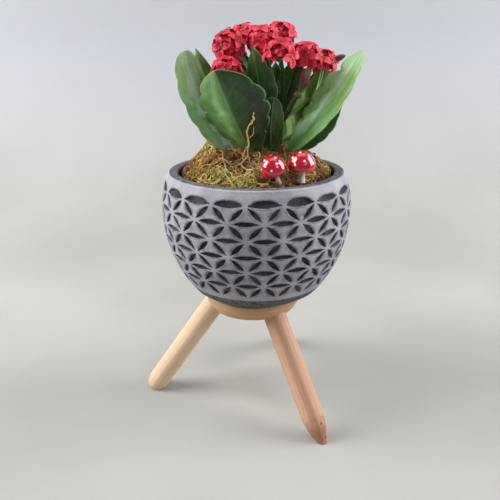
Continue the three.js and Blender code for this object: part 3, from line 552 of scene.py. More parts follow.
def trim(mesh, low, high):
    """Cuts off what lies below one height or above another, and closes the cuts."""
    work = bmesh.new()
    work.from_mesh(mesh)
    for height, above in ((low, False), (high, True)):
        every = work.verts[:] + work.edges[:] + work.faces[:]
        cut = bmesh.ops.bisect_plane(work, geom=every, plane_co=(0, 0, height * MM), plane_no=(0, 0, 1),
                                     clear_inner=not above, clear_outer=above)
        edges = [each for each in cut["geom_cut"] if isinstance(each, bmesh.types.BMEdge)]
        if edges:
            lids = bmesh.ops.contextual_create(work, geom=edges)["faces"]
            bmesh.ops.triangulate(work, faces=lids)
    bmesh.ops.recalc_face_normals(work, faces=work.faces[:])
    work.to_mesh(mesh)
    work.free()


# Materials. Colours are red, green and blue of 0 to 255.


def srgb(red, green, blue):
    """A colour as the linear colour that Blender wants."""
    share = np.array([red, green, blue]) / 255
    linear = np.where(share <= 0.04045, share / 12.92, ((share + 0.055) / 1.055) ** 2.4)
    return (*linear.tolist(), 1)


class Look:
    """A Principled material, with short calls for the nodes that its colour and bump are made of."""

    def __init__(self, name, **settings):
        self.material = bpy.data.materials.new(name)
        self.material.use_nodes = True
        self.tree = self.material.node_tree
        self.shader = self.tree.nodes["Principled BSDF"]
        for socket, value in settings.items():
            self.shader.inputs[socket.replace("_", " ").title().replace("Ior", "IOR")].default_value = value
        self.object_place = self.node("ShaderNodeTexCoord").outputs["Object"]
        self.marks = self.node("ShaderNodeAttribute", attribute_name="marks").outputs["Vector"]
        self.first, self.second, self.third = self.parts(self.marks)

    def node(self, kind, **settings):
        made = self.tree.nodes.new(kind)
        for name, value in settings.items():
            setattr(made, name, value)
        return made

    def feed(self, made, values):
        """Links or sets inputs of a node, by name or number. A colour is three numbers from 0 to 255."""
        for name, value in values.items():
            socket = made.inputs[name]
            if isinstance(value, bpy.types.NodeSocket):
                self.tree.links.new(value, socket)
            else:
                socket.default_value = srgb(*value) if socket.type == "RGBA" else value

    def parts(self, vector):
        split = self.node("ShaderNodeSeparateXYZ")
        self.feed(split, {0: vector})
        return split.outputs

    def texture(self, kind, place, inputs, **settings):
        made = self.node("ShaderNodeTex" + kind, **settings)
        self.feed(made, {"Vector": place, **inputs})
        return made.outputs

    def noise(self, size, detail=3, roughness=0.5, place=None):
        """Noise from 0 to 1 with features of about size millimetres, or in the units of the place given."""
        scale = 1 / (size * MM) if place is None else 1 / size
        inputs = {"Scale": scale, "Detail": detail, "Roughness": roughness}
        return self.texture("Noise", place or self.object_place, inputs)["Fac"]

    def cells(self, size):
        """The distance to the nearest of scattered points about size millimetres apart."""
        return self.texture("Voronoi", self.object_place, {"Scale": 1 / (size * MM)})["Distance"]

    def math(self, operation, a, b=0.0, clamp=False):
        made = self.node("ShaderNodeMath", operation=operation, use_clamp=clamp)
        self.feed(made, {0: a, 1: b})
        return made.outputs[0]

    def times(self, a, b):
        return self.math("MULTIPLY", a, b)

    def plus(self, a, b):
        return self.math("ADD", a, b)

    def varied(self, mark, noise, amount):
        """A mark from 0 to 1, higher and lower with a noise."""
        return self.math("ADD", mark, self.times(self.math("SUBTRACT", noise, 0.5), amount), True)

    def stretch(self, value, low, high, to_low=0.0, to_high=1.0):
        """Maps low to high onto another range, clamped, with a soft start and end."""
        made = self.node("ShaderNodeMapRange", interpolation_type="SMOOTHSTEP")
        self.feed(made, dict(enumerate((value, low, high, to_low, to_high))))
        return made.outputs[0]

    def vector(self, operation, place, by):
        made = self.node("ShaderNodeVectorMath", operation=operation)
        self.feed(made, {0: place, 1: by})
        return made.outputs[0]

    def scaled(self, x, y, z):
        """The marks with each direction scaled."""
        return self.vector("MULTIPLY", self.marks, (x, y, z))

    def ramp(self, factor, *stops):
        """A colour from stops of (position, colour)."""
        made = self.node("ShaderNodeValToRGB")
        self.feed(made, {0: factor})
        elements = made.color_ramp.elements
        while len(elements) < len(stops):
            elements.new(0.5)
        for element, (position, colour) in zip(elements, stops):
            element.position = position
            element.color = srgb(*colour)
        return made.outputs[0]

    def layers(self, base, *coats):
        """A base colour under coats, each with how far it covers and its colour."""
        for cover, colour in coats:
            made = self.node("ShaderNodeMix", data_type="RGBA")
            self.feed(made, {0: cover, 6: base, 7: colour})
            base = made.outputs[2]
        return base

    def bump(self, height, depth, below=None):
        """Bump of depth millimetres, over the bump below it."""
        made = self.node("ShaderNodeBump")
        self.feed(made, {"Strength": 1, "Distance": depth * MM, "Height": height})
        if below is not None:
            self.feed(made, {"Normal": below})
        return made.outputs[0]

    def done(self, base, bump, rough=None):
        """The material with its colour, its bump and, where it varies, its roughness."""
        self.feed(self.shader, {"Base Color": base, "Normal": bump})
        if rough is not None:
            self.feed(self.shader, {"Roughness": rough})
        return self.material


def cement_look():
    """Cast cement with dark paint left in the strokes and on the lip and foot.

    Marks: paint in a stroke (at the foot's bottom a painted contact shadow), paint residue with painted shade
    near strokes, and the dark coat of lip and foot."""
    look = Look("cement", roughness=0.9, specular_ior_level=0.2)
    cloud = look.noise(16, 5, 0.6)
    grain = look.noise(0.9, 3, 0.7)
    ragged = look.times(look.math("SUBTRACT", look.noise(1.1, 4, 0.7), 0.5), 1.7)
    # The first mark paints the strokes, and at the foot's bottom it is a painted contact shadow.
    paint = look.stretch(look.plus(look.first, ragged), 0.25, 0.75)
    worn = look.stretch(look.noise(13, 3), 0.35, 0.7, 1, 0.85)
    ink = look.ramp(look.noise(1.6, 4), (0.3, (30, 28, 36)), (0.75, (62, 60, 70)))
    coat = look.stretch(look.plus(look.third, look.times(ragged, 0.5)), 0.35, 0.7)
    coated = look.ramp(look.noise(2.4, 5), (0.3, (58, 58, 62)), (0.7, (116, 116, 120)))
    # Darker near strokes: paint residue, and painted shade beside the carved hollows.
    residue_and_shade = look.times(look.second, look.stretch(look.noise(3, 4), 0.3, 0.7, 0.3, 1))
    base = look.ramp(cloud, (0.3, (150, 147, 156)), (0.5, (170, 168, 176)), (0.72, (186, 184, 192)))
    base = look.layers(base, (look.stretch(grain, 0.35, 0.75, 0, 0.4), (118, 115, 124)), (residue_and_shade, (92, 89, 97)),
                       (coat, coated), (look.times(paint, worn), ink))
    pits = look.times(look.stretch(look.cells(2.1), 0.0, 0.16), look.stretch(cloud, 0.3, 0.6))
    return look.done(base, look.bump(pits, 0.25, look.bump(grain, 0.16)))


def wood_look(name, light, dark, grain, streaks, tip=None):
    """Sanded wood. Marks: millimetres across, across and along the grain.

    Grain is how dark its rings are, and streaks how strong its long stripes are. Beyond tip, along the
    grain, it is browner."""
    look = Look(name, roughness=0.6, specular_ior_level=0.3)
    along = look.scaled(1, 1, 0.018)
    waves = {"Scale": 0.1, "Distortion": 2.5, "Detail": 2, "Detail Scale": 0.3}
    rings = look.texture("Wave", look.vector("ADD", along, (31, 13, 0)), waves, wave_type="RINGS",
                         rings_direction="Z", wave_profile="SIN")["Fac"]
    fibre = look.noise(0.7, 3, 0.6, look.scaled(1, 1, 0.04))
    stripe = look.noise(4.5, 2, 0.5, along)
    pores = look.stretch(look.noise(0.5, 2, 0.5, look.scaled(1, 1, 0.1)), 0.64, 0.76)
    base = look.layers(light, (look.stretch(rings, 0, 1, 0.1, grain), dark),
                       (look.stretch(fibre, 0.3, 0.75, 0, 0.35), dark),
                       (look.stretch(stripe, 0.45, 0.7, 0, streaks), (156, 96, 66)),
                       (look.times(pores, 0.4), (120, 78, 50)))
    if tip is not None:
        worn = look.plus(look.third, look.times(look.noise(4, 4), 9))
        chip = look.stretch(look.noise(2.2, 3, 0.6, look.scaled(1, 1, 0.8)), 0.6, 0.66)
        chip = look.times(chip, look.stretch(look.third, tip - 4, tip, 0, 1))
        base = look.layers(base, (look.stretch(worn, tip, tip + 14, 0, 0.75), (150, 96, 64)),
                           (look.times(chip, 0.75), (62, 38, 26)))
    return look.done(base, look.bump(fibre, 0.1), look.stretch(fibre, 0.2, 0.8, 0.52, 0.7))


def leaf_look(name, dark, middle, light, pale, vein):
    """A waxy leaf. Marks: place across from -1 to 1, place along from 0 to 1, and how light it is, painted
    light included.
    """
    look = Look(name, roughness=0.42, specular_ior_level=0.38, coat_weight=0.25, coat_roughness=0.3,
                sheen_weight=0.03, sheen_roughness=0.4, sheen_tint=srgb(190, 215, 215),
                subsurface_weight=0.05, subsurface_radius=(0.4, 0.9, 0.2), subsurface_scale=0.002)
    aside = look.math("ABSOLUTE", look.first)
    cloud = look.noise(9, 4, 0.6)
    streak = look.noise(0.24, 4, 0.6, look.scaled(1, 1.1, 0))
    mottle = look.plus(look.times(cloud, 0.5), look.times(streak, 0.8))
    tone = look.plus(look.third, look.math("SUBTRACT", mottle, 0.65))
    slant = look.times(look.math("POWER", aside, VEIN_BEND), VEIN_SLANT)
    phase = look.math("SUBTRACT", look.times(look.second, LEAF_VEINS), slant)
    wave = look.math("ABSOLUTE", look.math("SINE", look.times(phase, math.pi)))
    side_vein = look.times(look.stretch(wave, 0, 0.2, 1, 0), look.stretch(aside, 0.15, 0.95, 0.16, 0))
    # Partly the leaf's waxy bluish bloom, partly painted sheen where the leaf is lightest.
    bloom_and_sheen = look.times(look.stretch(look.noise(6, 4, 0.6), 0.42, 0.66, 0, 0.5), look.stretch(tone, 0.55, 1.2))
    # The palest colour at the top of the ramp is painted sheen.
    base = look.ramp(look.times(tone, 0.7), (0, dark), (0.35, middle), (0.7, light), (1, pale))
    base = look.layers(base, (side_vein, vein), (look.stretch(aside, 0.015, 0.07, 0.45, 0), vein),
                       (bloom_and_sheen, (150, 182, 172)),
                       (look.stretch(look.noise(0.7, 2), 0.5, 0.8, 0, 0.3), middle),
                       (look.stretch(look.second, 0.02, 0.25, 0.5, 0), (96, 122, 62)),
                       (look.stretch(aside, 0.94, 0.995, 0, 0.6), vein))
    skin = look.bump(look.cells(0.5), 0.05)
    return look.done(base, look.bump(cloud, 0.5, skin), look.stretch(look.noise(2.5, 4), 0.3, 0.7, 0.34, 0.5))


def petal_look():
    """Soft red petals. Marks: place along, place across, and how bright the floret is."""
    look = Look("petal", roughness=0.45, specular_ior_level=0.3, sheen_weight=0.1, sheen_roughness=0.35,
                sheen_tint=srgb(255, 140, 150), subsurface_weight=0.1, subsurface_radius=(1, 0.3, 0.25),
                subsurface_scale=0.001)
    # Along each petal, after the orange throat: painted shade on the inner part and a painted highlight at
    # the tip.
    deep = look.ramp(look.first, (0, (190, 70, 34)), (0.07, (124, 6, 22)), (0.4, (160, 4, 36)),
                     (0.85, (210, 18, 56)), (1, (226, 48, 80)))
    bright = look.ramp(look.first, (0, (236, 140, 66)), (0.1, (184, 16, 36)), (0.42, (224, 24, 62)),
                       (0.85, (250, 78, 106)), (1, (255, 134, 152)))
    streak = look.noise(0.12, 2, 0.5, look.scaled(0.15, 0.5, 1))
    base = look.layers(deep, (look.varied(look.third, streak, 0.8), bright))
    return look.done(base, look.bump(streak, 0.12))


def green_look(name, dark, light, blush):
    """Stems, calyxes and stalks, with a blush of red or brown. The third mark says how light it is."""
    look = Look(name, roughness=0.5, specular_ior_level=0.4)
    tone = look.varied(look.third, look.noise(5, 4, 0.6), 0.9)
    base = look.layers(look.ramp(tone, (0, dark), (1, light)),
                       (look.stretch(look.noise(11, 3), 0.5, 0.75, 0, 0.6), blush))
    return look.done(base, look.bump(look.noise(0.8, 3), 0.08))


def bud_look(name, middle, tip):
    """A closed bud: its seams are in the mesh, and its colour runs from foot to tip by the first mark."""
    look = Look(name, roughness=0.45, specular_ior_level=0.4, sheen_weight=0.2)
    streak = look.noise(0.9, 3)
    place = look.varied(look.first, streak, 0.4)
    return look.done(look.ramp(place, (0, (92, 100, 58)), (0.35, middle), (1, tip)), look.bump(streak, 0.1))


def strand_look():
    """Dry and living moss. Marks: a number that each strand has for itself, place along it, and its kind."""
    look = Look("moss_strands", roughness=0.85, specular_ior_level=0.2, sheen_weight=0.2)
    dry = look.ramp(look.first, (0, (78, 46, 26)), (0.25, (148, 90, 44)), (0.5, (192, 138, 70)),
                    (0.75, (212, 172, 98)), (1, (226, 206, 146)))
    living = look.ramp(look.first, (0, (64, 70, 22)), (0.4, (128, 130, 36)), (0.7, (176, 172, 54)),
                       (1, (216, 212, 120)))
    # Darker towards each strand's start: painted shade where it sinks into the moss.
    base = look.layers(dry, (look.third, living), (look.stretch(look.second, 0, 0.5, 0.5, 0), (48, 36, 22)),
                       (look.stretch(look.noise(1.5, 3), 0.4, 0.8, 0, 0.4), (96, 70, 40)))
    return look.done(base, look.bump(look.noise(0.5, 2), 0.1))


def crumb_look(name, colour_size, bump_size, depth, *stops):
    """Rough stuff: the shaded inside of the moss, and the soil."""
    look = Look(name, roughness=1, specular_ior_level=0.1)
    base = look.ramp(look.noise(colour_size, 5, 0.7), *stops)
    return look.done(base, look.bump(look.noise(bump_size, 5, 0.7), depth))


def cap_look():
    """Glossy red lacquer. The first mark is the white of a spot, the second the height on the cap."""
    look = Look("cap", roughness=0.16, specular_ior_level=0.6, coat_weight=1, coat_roughness=0.04)
    base = look.layers(look.ramp(look.noise(5, 3), (0.35, (160, 4, 32)), (0.7, (200, 12, 46))),
                       (look.stretch(look.second, 0, 0.3, 0.4, 0), (210, 52, 52)),
                       (look.stretch(look.first, 0.35, 0.65), (255, 224, 228)))
    return look.done(base, look.bump(look.noise(1.5, 3), 0.05))


def stalk_look():
    """A painted stalk. Marks: millimetres across, across and along it."""
    look = Look("stalk", roughness=0.65, specular_ior_level=0.3)
    streak = look.noise(1.2, 4, 0.6, look.scaled(1, 1, 0.2))
    base = look.ramp(streak, (0.3, (176, 166, 142)), (0.7, (232, 226, 210)))
    return look.done(base, look.bump(streak, 0.12))


def backdrop_look():
    """A pale floor, and a wall of another grey that begins at the ground."""
    look = Look("backdrop", roughness=0.9, specular_ior_level=0.1)
    height = look.parts(look.object_place)[2]
    base = look.layers((158, 157, 152), (look.stretch(look.noise(220, 3), 0.35, 0.7), (167, 165, 160)),
                       (look.stretch(height, 0, 0.25), (172, 173, 179)))
    return look.done(base, look.bump(look.noise(60, 3), 1.5))


ROSY_TIP = 96
HONEY_TIP = 112
CEMENT = cement_look()
HONEY = wood_look("wood_honey", (232, 204, 172), (206, 172, 136), 0.32, 0.12, HONEY_TIP)
ROSY = wood_look("wood_rosy", (206, 164, 138), (180, 134, 106), 0.4, 0.5, ROSY_TIP)
PLATE_WOOD = wood_look("wood_plate", (202, 164, 126), (172, 132, 94), 0.35, 0.2)
# The palest of each leaf look's colours is for painted sheen.
LEAF = leaf_look("leaf", (24, 52, 20), (64, 112, 38), (122, 172, 76), (184, 222, 180), (132, 172, 104))
# A lighter, yellower leaf green: partly the leaf's own yellower green, partly painted light on leaves in
# shade.
LEAF_YELLOWER_PAINTED_LIT = leaf_look("leaf_yellower_painted_lit", (48, 88, 18), (98, 150, 36), (150, 192, 76), (170, 206, 120),
                       (150, 190, 96))
LEAF_UNDER = leaf_look("leaf_under", (34, 58, 30), (76, 118, 58), (130, 174, 98), (180, 210, 180),
                       (144, 180, 120))
LEAF_RIM = green_look("leaf_rim", (58, 82, 44), (164, 190, 136), (120, 112, 76))
STEM = green_look("stem", (36, 48, 22), (70, 90, 44), (70, 46, 34))
CALYX = green_look("calyx", (66, 80, 38), (128, 132, 74), (128, 80, 54))
PETAL = petal_look()
BUD_PINK = bud_look("bud_pink", (112, 34, 44), (170, 62, 116))
BUD_BROWN = bud_look("bud_brown", (96, 52, 42), (120, 60, 48))
STRANDS = strand_look()
MOUND = crumb_look("moss_mound", 2.5, 1.6, 1.5, (0.3, (40, 30, 18)), (0.5, (84, 66, 34)),
                   (0.7, (124, 104, 52)))
CAP = cap_look()
STALK = stalk_look()
SOIL = crumb_look("soil", 2, 1.2, 1.2, (0.3, (32, 24, 17)), (0.7, (82, 62, 44)))


# Stand


def leg_axis(leg):
    """Where a leg's centre line meets the plate and the ground, and its direction down."""
    azimuth = math.radians(leg["azimuth"])
    outward = np.array([math.cos(azimuth), math.sin(azimuth), 0])
    root = outward * leg["root"] + (STAND_X, 0, PLATE_BOTTOM)
    foot = outward * leg["spread"] + (STAND_X, 0, 0)
    return root, foot, unit(foot - root)


def leg_piece(leg):
    root, foot, along = leg_axis(leg)
    nose, tip = leg["nose"], leg["tip"]
    straight = np.linalg.norm(foot - root) + LEG_INSET - nose
    knots = [(LEG_RADIUS * of_leg + tip * of_tip, straight + nose * share) for share, of_leg, of_tip in NOSE]
    body = stacked(LEG_RADIUS, np.linspace(0, straight, LEG_RINGS))
    bend = smooth_path(knots, LEG_RINGS)[1:]
    form = Form()
    form.lathe(np.vstack([(0, 0), body, bend, (0, knots[-1][1])]), LEG_SIDES, root - along * LEG_INSET, along)
    look = ROSY if leg["name"] == "leg_front" else HONEY
    made = form.piece(leg["name"], [look], weld=True, sharp=LEG_SHARP)
    trim(made.data, 0, SOCKET_TOP - CLEARANCE)


def plate_piece():
    inner = np.linspace(0, PLATE_OUTLINE[0][0], PLATE_RINGS)[1:-1]
    below, above = stacked(inner, PLATE_BOTTOM), stacked(inner[::-1], PLATE_TOP)
    side = smooth_path(PLATE_OUTLINE, PLATE_ROWS)
    outline = np.vstack([(0, PLATE_BOTTOM), below, side, above, (0, PLATE_TOP)])
    form = Form()
    form.lathe(outline, PLATE_SIDES, (STAND_X, 0, 0))
    form.marks = [marks[:, [1, 2, 0]] for marks in form.marks]
    cut_sockets(form.piece("plate", [PLATE_WOOD], weld=True))


def cut_sockets(plate):
    """Cuts the three blind sockets for the legs into the plate."""
    radius = LEG_RADIUS + CLEARANCE
    outline = [(0, -DRILL_REACH), (radius, -DRILL_REACH), (radius, DRILL_REACH), (0, DRILL_REACH)]
    for leg in LEGS:
        root, _, along = leg_axis(leg)
        form = Form()
        form.lathe(outline, LEG_SIDES, root, along)
        drill = form.piece("drill", [PLATE_WOOD], loose=True, weld=True)
        trim(drill.data, 0, SOCKET_TOP)
        cut = plate.modifiers.new("socket", "BOOLEAN")
        cut.operation = "DIFFERENCE"
        cut.solver = "EXACT"
        cut.object = drill
        bpy.context.view_layer.objects.active = plate
        bpy.ops.object.modifier_apply(modifier=cut.name)
        bpy.data.objects.remove(drill)
    plate.data.set_sharp_from_angle(angle=math.radians(PLATE_SHARP))


# Bowl


def bowl_radius(z):
    """The radius of the outside at a height."""
    reach = np.where(z > BOWL_WIDEST, UPPER_RISE, LOWER_DROP)
    return BOWL_RADIUS * np.sqrt(1 - ((z - BOWL_WIDEST) / reach) ** 2)


def on_wall(flat, sink=0.0):
    """Points of the unrolled lattice, in millimetres right and up from its first place, on the wall."""
    angle = np.radians(FIRST_COLUMN) + flat[..., 0] / COLUMN_WIDTH * 2 * np.pi / COLUMNS
    z = TOP_ROW + flat[..., 1]
    return round_axis(bowl_radius(z) - sink, angle, z)


def lens(t, half, fullness=FULLNESS, gap=GAP_STEPS):
    """Half the width of a stroke at a share t of the way between two lattice places."""
    gap = gap / STEPS
    s = np.clip((t - gap) / (1 - 2 * gap), 0, 1)
    return half * (1 - np.abs(2 * s - 1) ** fullness)


def border(width):
    """Where the plain wall begins beside a stroke of that half width."""
    return width + STROKE_EDGE * np.minimum(1, width / FULL_EDGE_HALF)


def cells(form, corners, halves, gaps):
    """Triangles of plain wall between strokes.

    Corners is cells by 3 by 2. Halves and gaps are those of the stroke along each side."""
    steps = [(i, j) for i in range(STEPS + 1) for j in range(STEPS + 1 - i)]
    number = {place: k for k, place in enumerate(steps)}
    weight = np.array([[STEPS - i - j, i, j] for i, j in steps]) / STEPS
    flat = np.einsum("vk,nkd->nvd", weight, corners)
    residue_and_shade = np.zeros(flat.shape[:-1])
    for side in range(3):
        after = (side + 1) % 3
        near = 1 - weight[:, (side + 2) % 3]
        t = np.divide(weight[:, after], near, out=np.zeros(len(near)), where=near > 0)
        width = lens(t, halves[:, side, None], gap=gaps[side])
        ahead = unit(corners[:, after] - corners[:, side])
        inward = stacked(-ahead[:, 1], ahead[:, 0])
        flat = flat + (border(width) * near**2)[..., None] * inward[:, None]
        # Paint residue and painted shade, strongest beside each stroke.
        residue_and_shade = np.maximum(residue_and_shade, np.minimum(1, width) * near**RESIDUE_AND_SHADE_FALL)
    numbers = form.add(on_wall(flat), stacked(0, residue_and_shade, 0))
    faces = []
    for i, j in steps:
        if i + j < STEPS:
            faces.append((number[i, j], number[i + 1, j], number[i, j + 1]))
        if i + j < STEPS - 1:
            faces.append((number[i + 1, j], number[i + 1, j + 1], number[i, j + 1]))
    form.add_faces(numbers[:, np.array(faces)])


def strokes(form, starts, ends, left, right, fullness=FULLNESS, gap=GAP_STEPS):
    """Carved strokes between lattice places, with their half widths on either side.

    The left side may be fuller than the right one."""
    t = np.arange(gap, STEPS - gap + 1) / STEPS
    base = starts[:, None] + (ends - starts)[:, None] * t[:, None]
    ahead = unit(ends - starts)
    aside = stacked(-ahead[:, 1], ahead[:, 0])
    depth = STROKE_DEPTH * np.minimum(1, lens(t, STROKE_HALF, gap=gap) / FULL_DEPTH_HALF)
    rows = []
    for sign, half, full in ((-1, right, FULLNESS), (1, left, fullness)):
        width = lens(t, half[:, None], full, gap)
        levels = [(sign * border(width), 0, 0)]
        levels += [(sign * width * share, sink, paint) for share, sink, paint in STROKE_SECTION]
        rows += levels if sign < 0 else [(0 * width, 1, 1)] + levels[::-1]
    points = [on_wall(base + offset[..., None] * aside[:, None], sink * depth) for offset, sink, _ in rows]
    # The second mark is paint residue and painted shade on a stroke's edges, where its paint thins out.
    marks = [stacked(paint + 0 * offset, 1 - paint, 0) for offset, _, paint in rows]
    form.grid(np.stack(points, 1), np.stack(marks, 1))


def lattice_place(column, row):
    return stacked(column * COLUMN_WIDTH, -row * ROW_STEP)


def bowl_wall(form):
    """All strokes of the lattice, each a little wider or slimmer, and the wall between them.

    Gives back the half widths of the upper sides of the top strokes."""
    rng = np.random.default_rng(7)
    widths = rng.uniform(1 - STROKE_SPREAD, 1 + STROKE_SPREAD, (3, BANDS + 1, COLUMNS))
    across, right, left = STROKE_HALF * widths
    across[BANDS] = 0
    top = TOP_STROKE_HALF * rng.uniform(1 - TOP_SPREAD, 1 + TOP_SPREAD, COLUMNS)
    for row in range(BANDS):
        column = np.arange(COLUMNS) + (row % 2) / 2
        here, east = lattice_place(column, row), lattice_place(column + 1, row)
        below, before = lattice_place(column + 0.5, row + 1), lattice_place(column - 0.5, row + 1)
        upper, fullness, gap = across[row], FULLNESS, GAP_STEPS
        if row == 0:
            upper, fullness, gap = top, TOP_FULLNESS, TOP_GAP_STEPS
        strokes(form, here, east, upper, across[row], fullness, gap)
        strokes(form, here, below, right[row], right[row])
        strokes(form, here, before, left[row], left[row])
        hanging = stacked(right[row], np.roll(left[row], -1), across[row])
        cells(form, np.stack([here, below, east], 1), hanging, (GAP_STEPS, GAP_STEPS, gap))
        standing = stacked(left[row], np.roll(across[row + 1], 1 - row % 2), right[row])
        cells(form, np.stack([here, before, below], 1), standing, (GAP_STEPS, GAP_STEPS, GAP_STEPS))
    return top


def ring_rows(form, rows, marks):
    """Rings round the bowl from arrays of (radius, height) for each ring and each step round it."""
    angle = np.radians(FIRST_COLUMN) + circle(COLUMNS * STEPS)
    form.grid(round_axis(rows[..., 0], angle, rows[..., 1]), marks[:, None], around=True)


def arc(centre, reach, start, end, count):
    """Part of an ellipse of (radius, height), from one angle to another in degrees."""
    angle = np.radians(np.linspace(start, end, count))
    return np.array(centre) + np.array(reach) * stacked(np.cos(angle), np.sin(angle))


def bowl_piece():
    form = Form()
    top_half = np.repeat(bowl_wall(form), STEPS)
    t = np.arange(len(top_half)) % STEPS / STEPS
    edge = TOP_ROW + border(lens(t, top_half, TOP_FULLNESS, TOP_GAP_STEPS))
    share = np.linspace(0, 1, COLLAR_ROWS)[:, None]
    height = edge * (1 - share) + (BOWL_TOP - COLLAR_DROP) * share
    collar = stacked(bowl_radius(height), height)
    lip = np.vstack([arc(*LIP_OUTSIDE, 0, 90, 9), LIP_FLAT, arc(*LIP_INSIDE, 90, 180, 7)])
    wall = stacked(bowl_radius(np.array(INSIDE_HEIGHTS)) - BOWL_WALL, INSIDE_HEIGHTS)
    corner = [(wall[-1, 0] - inward, low) for inward, low in INSIDE_CORNER]
    drain = [(DRAIN_RADIUS + DRAIN_BEVEL, BOWL_FLOOR), (DRAIN_RADIUS, BOWL_FLOOR - DRAIN_BEVEL),
             FOOT_OUTLINE[-1]]
    inner = np.vstack([lip + (bowl_radius(BOWL_TOP), BOWL_TOP), wall, corner, FLOOR_RING, drain])
    rows = np.concatenate([collar, np.broadcast_to(inner[:, None], (len(inner), len(edge), 2))])
    coat = np.ones(len(rows))
    coat[:BARE_ROWS + 2] = [0] * BARE_ROWS + [0.3, 0.6]
    # The first collar rows get paint residue and painted shade beside the top strokes.
    residue_and_shade = np.zeros(len(rows))
    residue_and_shade[:2] = 1, 0.2
    ring_rows(form, rows, stacked(0, residue_and_shade, coat))
    heights = np.linspace(TOP_ROW - BANDS * ROW_STEP, FOOT_START, 6)
    foot = np.vstack([stacked(bowl_radius(heights), heights), FOOT_OUTLINE])
    coat = np.clip(np.arange(len(foot)) / 1.6 - 0.4, 0, 1)
    # Foot rows inside that radius take the strokes' dark ink as a painted contact shadow.
    ring_rows(form, foot[::-1, None], stacked(foot[:, 0] < CONTACT_SHADOW_RADIUS, 0, coat)[::-1])
    form.piece("bowl", [CEMENT], weld=True, sharp=BOWL_SHARP)


# Moss


def hump(x, y, at_x, at_y, spread_x, spread_y):
    """1 at a place, and less the farther from it."""
    return np.exp(-((x - at_x) ** 2 / spread_x + (y - at_y) ** 2 / spread_y))


def lumps(x, y, size):
    """Soft lumps from -1 to 1, about size millimetres across."""
    turn = 2 * np.pi / size
    first = np.sin(x * turn + 1.3) * np.cos(y * turn * 0.9)
    return (first + np.sin((x - y) * turn * 0.7 + 2) + np.sin((x * 0.6 + y) * turn * 1.3)) / 3


def moss_surface(x, y):
    """The moss with its knoll, its clumps and its heaps round the picks, flat where it meets the bowl."""
    r = np.hypot(x, y) / MOSS_RADIUS
    front = np.clip((-y - FRONT_START) / FRONT_RUN, 0, 1)
    mound = MOSS_EDGE + MOSS_RISE * (1 - r**4) * (1 - FRONT_DROP * front)
    knoll = KNOLL_RISE * hump(x, y, *KNOLL) * (1.1 - r)
    clumps = CLUMP_RISE * lumps(x, y, CLUMP_SIZE)
    for rise, heap in PICK_HEAPS:
        clumps = clumps + rise * hump(x, y, *heap)
    return mound + knoll + clumps * (1 - np.clip(r, 0, 1) ** 6)


def moss_piece():
    share = np.linspace(1, 0, MOSS_RINGS)[:-1, None]
    x, y, _ = np.moveaxis(round_axis(MOSS_RADIUS * share, circle(MOSS_SIDES), 0), -1, 0)
    z = moss_surface(x, y) - MOUND_SINK + MOUND_RISE * lumps(y, x, MOUND_SIZE)
    low = SOIL_TOP + CLEARANCE
    form = Form()
    numbers = form.grid(np.concatenate([stacked(x[:1], y[:1], low), stacked(x, y, z)]), around=True)
    form.close(numbers[0], (0, 0, low), start=True)
    form.close(numbers[-1], (0, 0, moss_surface(0, 0) - MOUND_SINK))
    form.piece("moss", [MOUND])


def moss_kind(x, y):
    """How green and how pale the moss is at a place, each from 0 to 1."""
    front, crest = hump(x, y, *GREEN_FRONT), hump(x, y, *GREEN_CREST)
    green = 1.2 * front + 0.9 * crest + 0.6 * lumps(x, y, GREEN_SIZE) - 0.18
    pale = 0.42 - 0.004 * x + 0.35 * front + 0.6 * crest + 0.3 * lumps(y, x, PALE_SIZE)
    return np.clip(green, 0, 1), np.clip(pale, 0, 1)


def run_strands(rng, at, length, curl, lift, stations):
    """Strands that start at places, wind over the moss and arch up by lift."""
    count = len(at)
    heading = rng.uniform(0, 2 * np.pi, count)
    bend = rng.normal(0, curl, count)
    step = length / stations
    reach = MOSS_REACH + rng.normal(0, REACH_SPREAD, count)
    path = []
    for k in range(stations):
        away = np.maximum(np.hypot(*at.T), 1)
        at = at * np.minimum(1, reach / away)[:, None]
        arch = np.sin(np.pi * (ARCH_START + ARCH_SPAN * k / (stations - 1)))
        path.append(stacked(*at.T, moss_surface(*at.T) - STRAND_SINK + lift * arch))
        at = at + step[:, None] * stacked(np.cos(heading), np.sin(heading))
        heading = heading + bend + rng.normal(0, WANDER, count)
    return np.stack(path, 1)


def strands_piece(name, seed, clumps, strands, spread, length, lift, curl, thick, sides, stations, dark=0.0):
    """Clumps of strands. Each clump has its own height and colour, and dark takes off from how pale it is."""
    rng = np.random.default_rng(seed)
    order = np.arange(clumps)
    x, y, _ = round_axis(MOSS_REACH * np.sqrt((order + 0.5) / clumps), GOLDEN_ANGLE * order, 0).T
    middle = stacked(x, y) + rng.normal(0, spread / 2, (clumps, 2))
    green, pale = moss_kind(*middle.T)
    green = np.clip(green + rng.normal(0, GREEN_SPREAD, clumps), 0, 1)
    pale = np.clip(pale - dark + rng.normal(0, PALE_SPREAD, clumps), 0, 1)
    height = rng.uniform(0.4, 1, clumps)
    own = np.repeat(order, strands)
    count = len(own)
    at = middle[own] + rng.normal(0, spread, (count, 2))
    high = lift * height[own] * rng.uniform(0.5, 1, count)
    paths = run_strands(rng, at, length * rng.uniform(0.5, 1, count), curl, high, stations)
    share = np.linspace(0, 1, stations)
    width = thick * rng.uniform(0.6, 1.3, count)[:, None] * (1 - STRAND_TAPER * share**2)
    tint = np.clip(pale[own] + rng.normal(0, TINT_SPREAD, count), 0, 1)
    form = Form()
    form.tubes(paths, width, sides, stacked(tint[:, None], share, green[own][:, None]))
    form.piece(name, [STRANDS], loose=True)


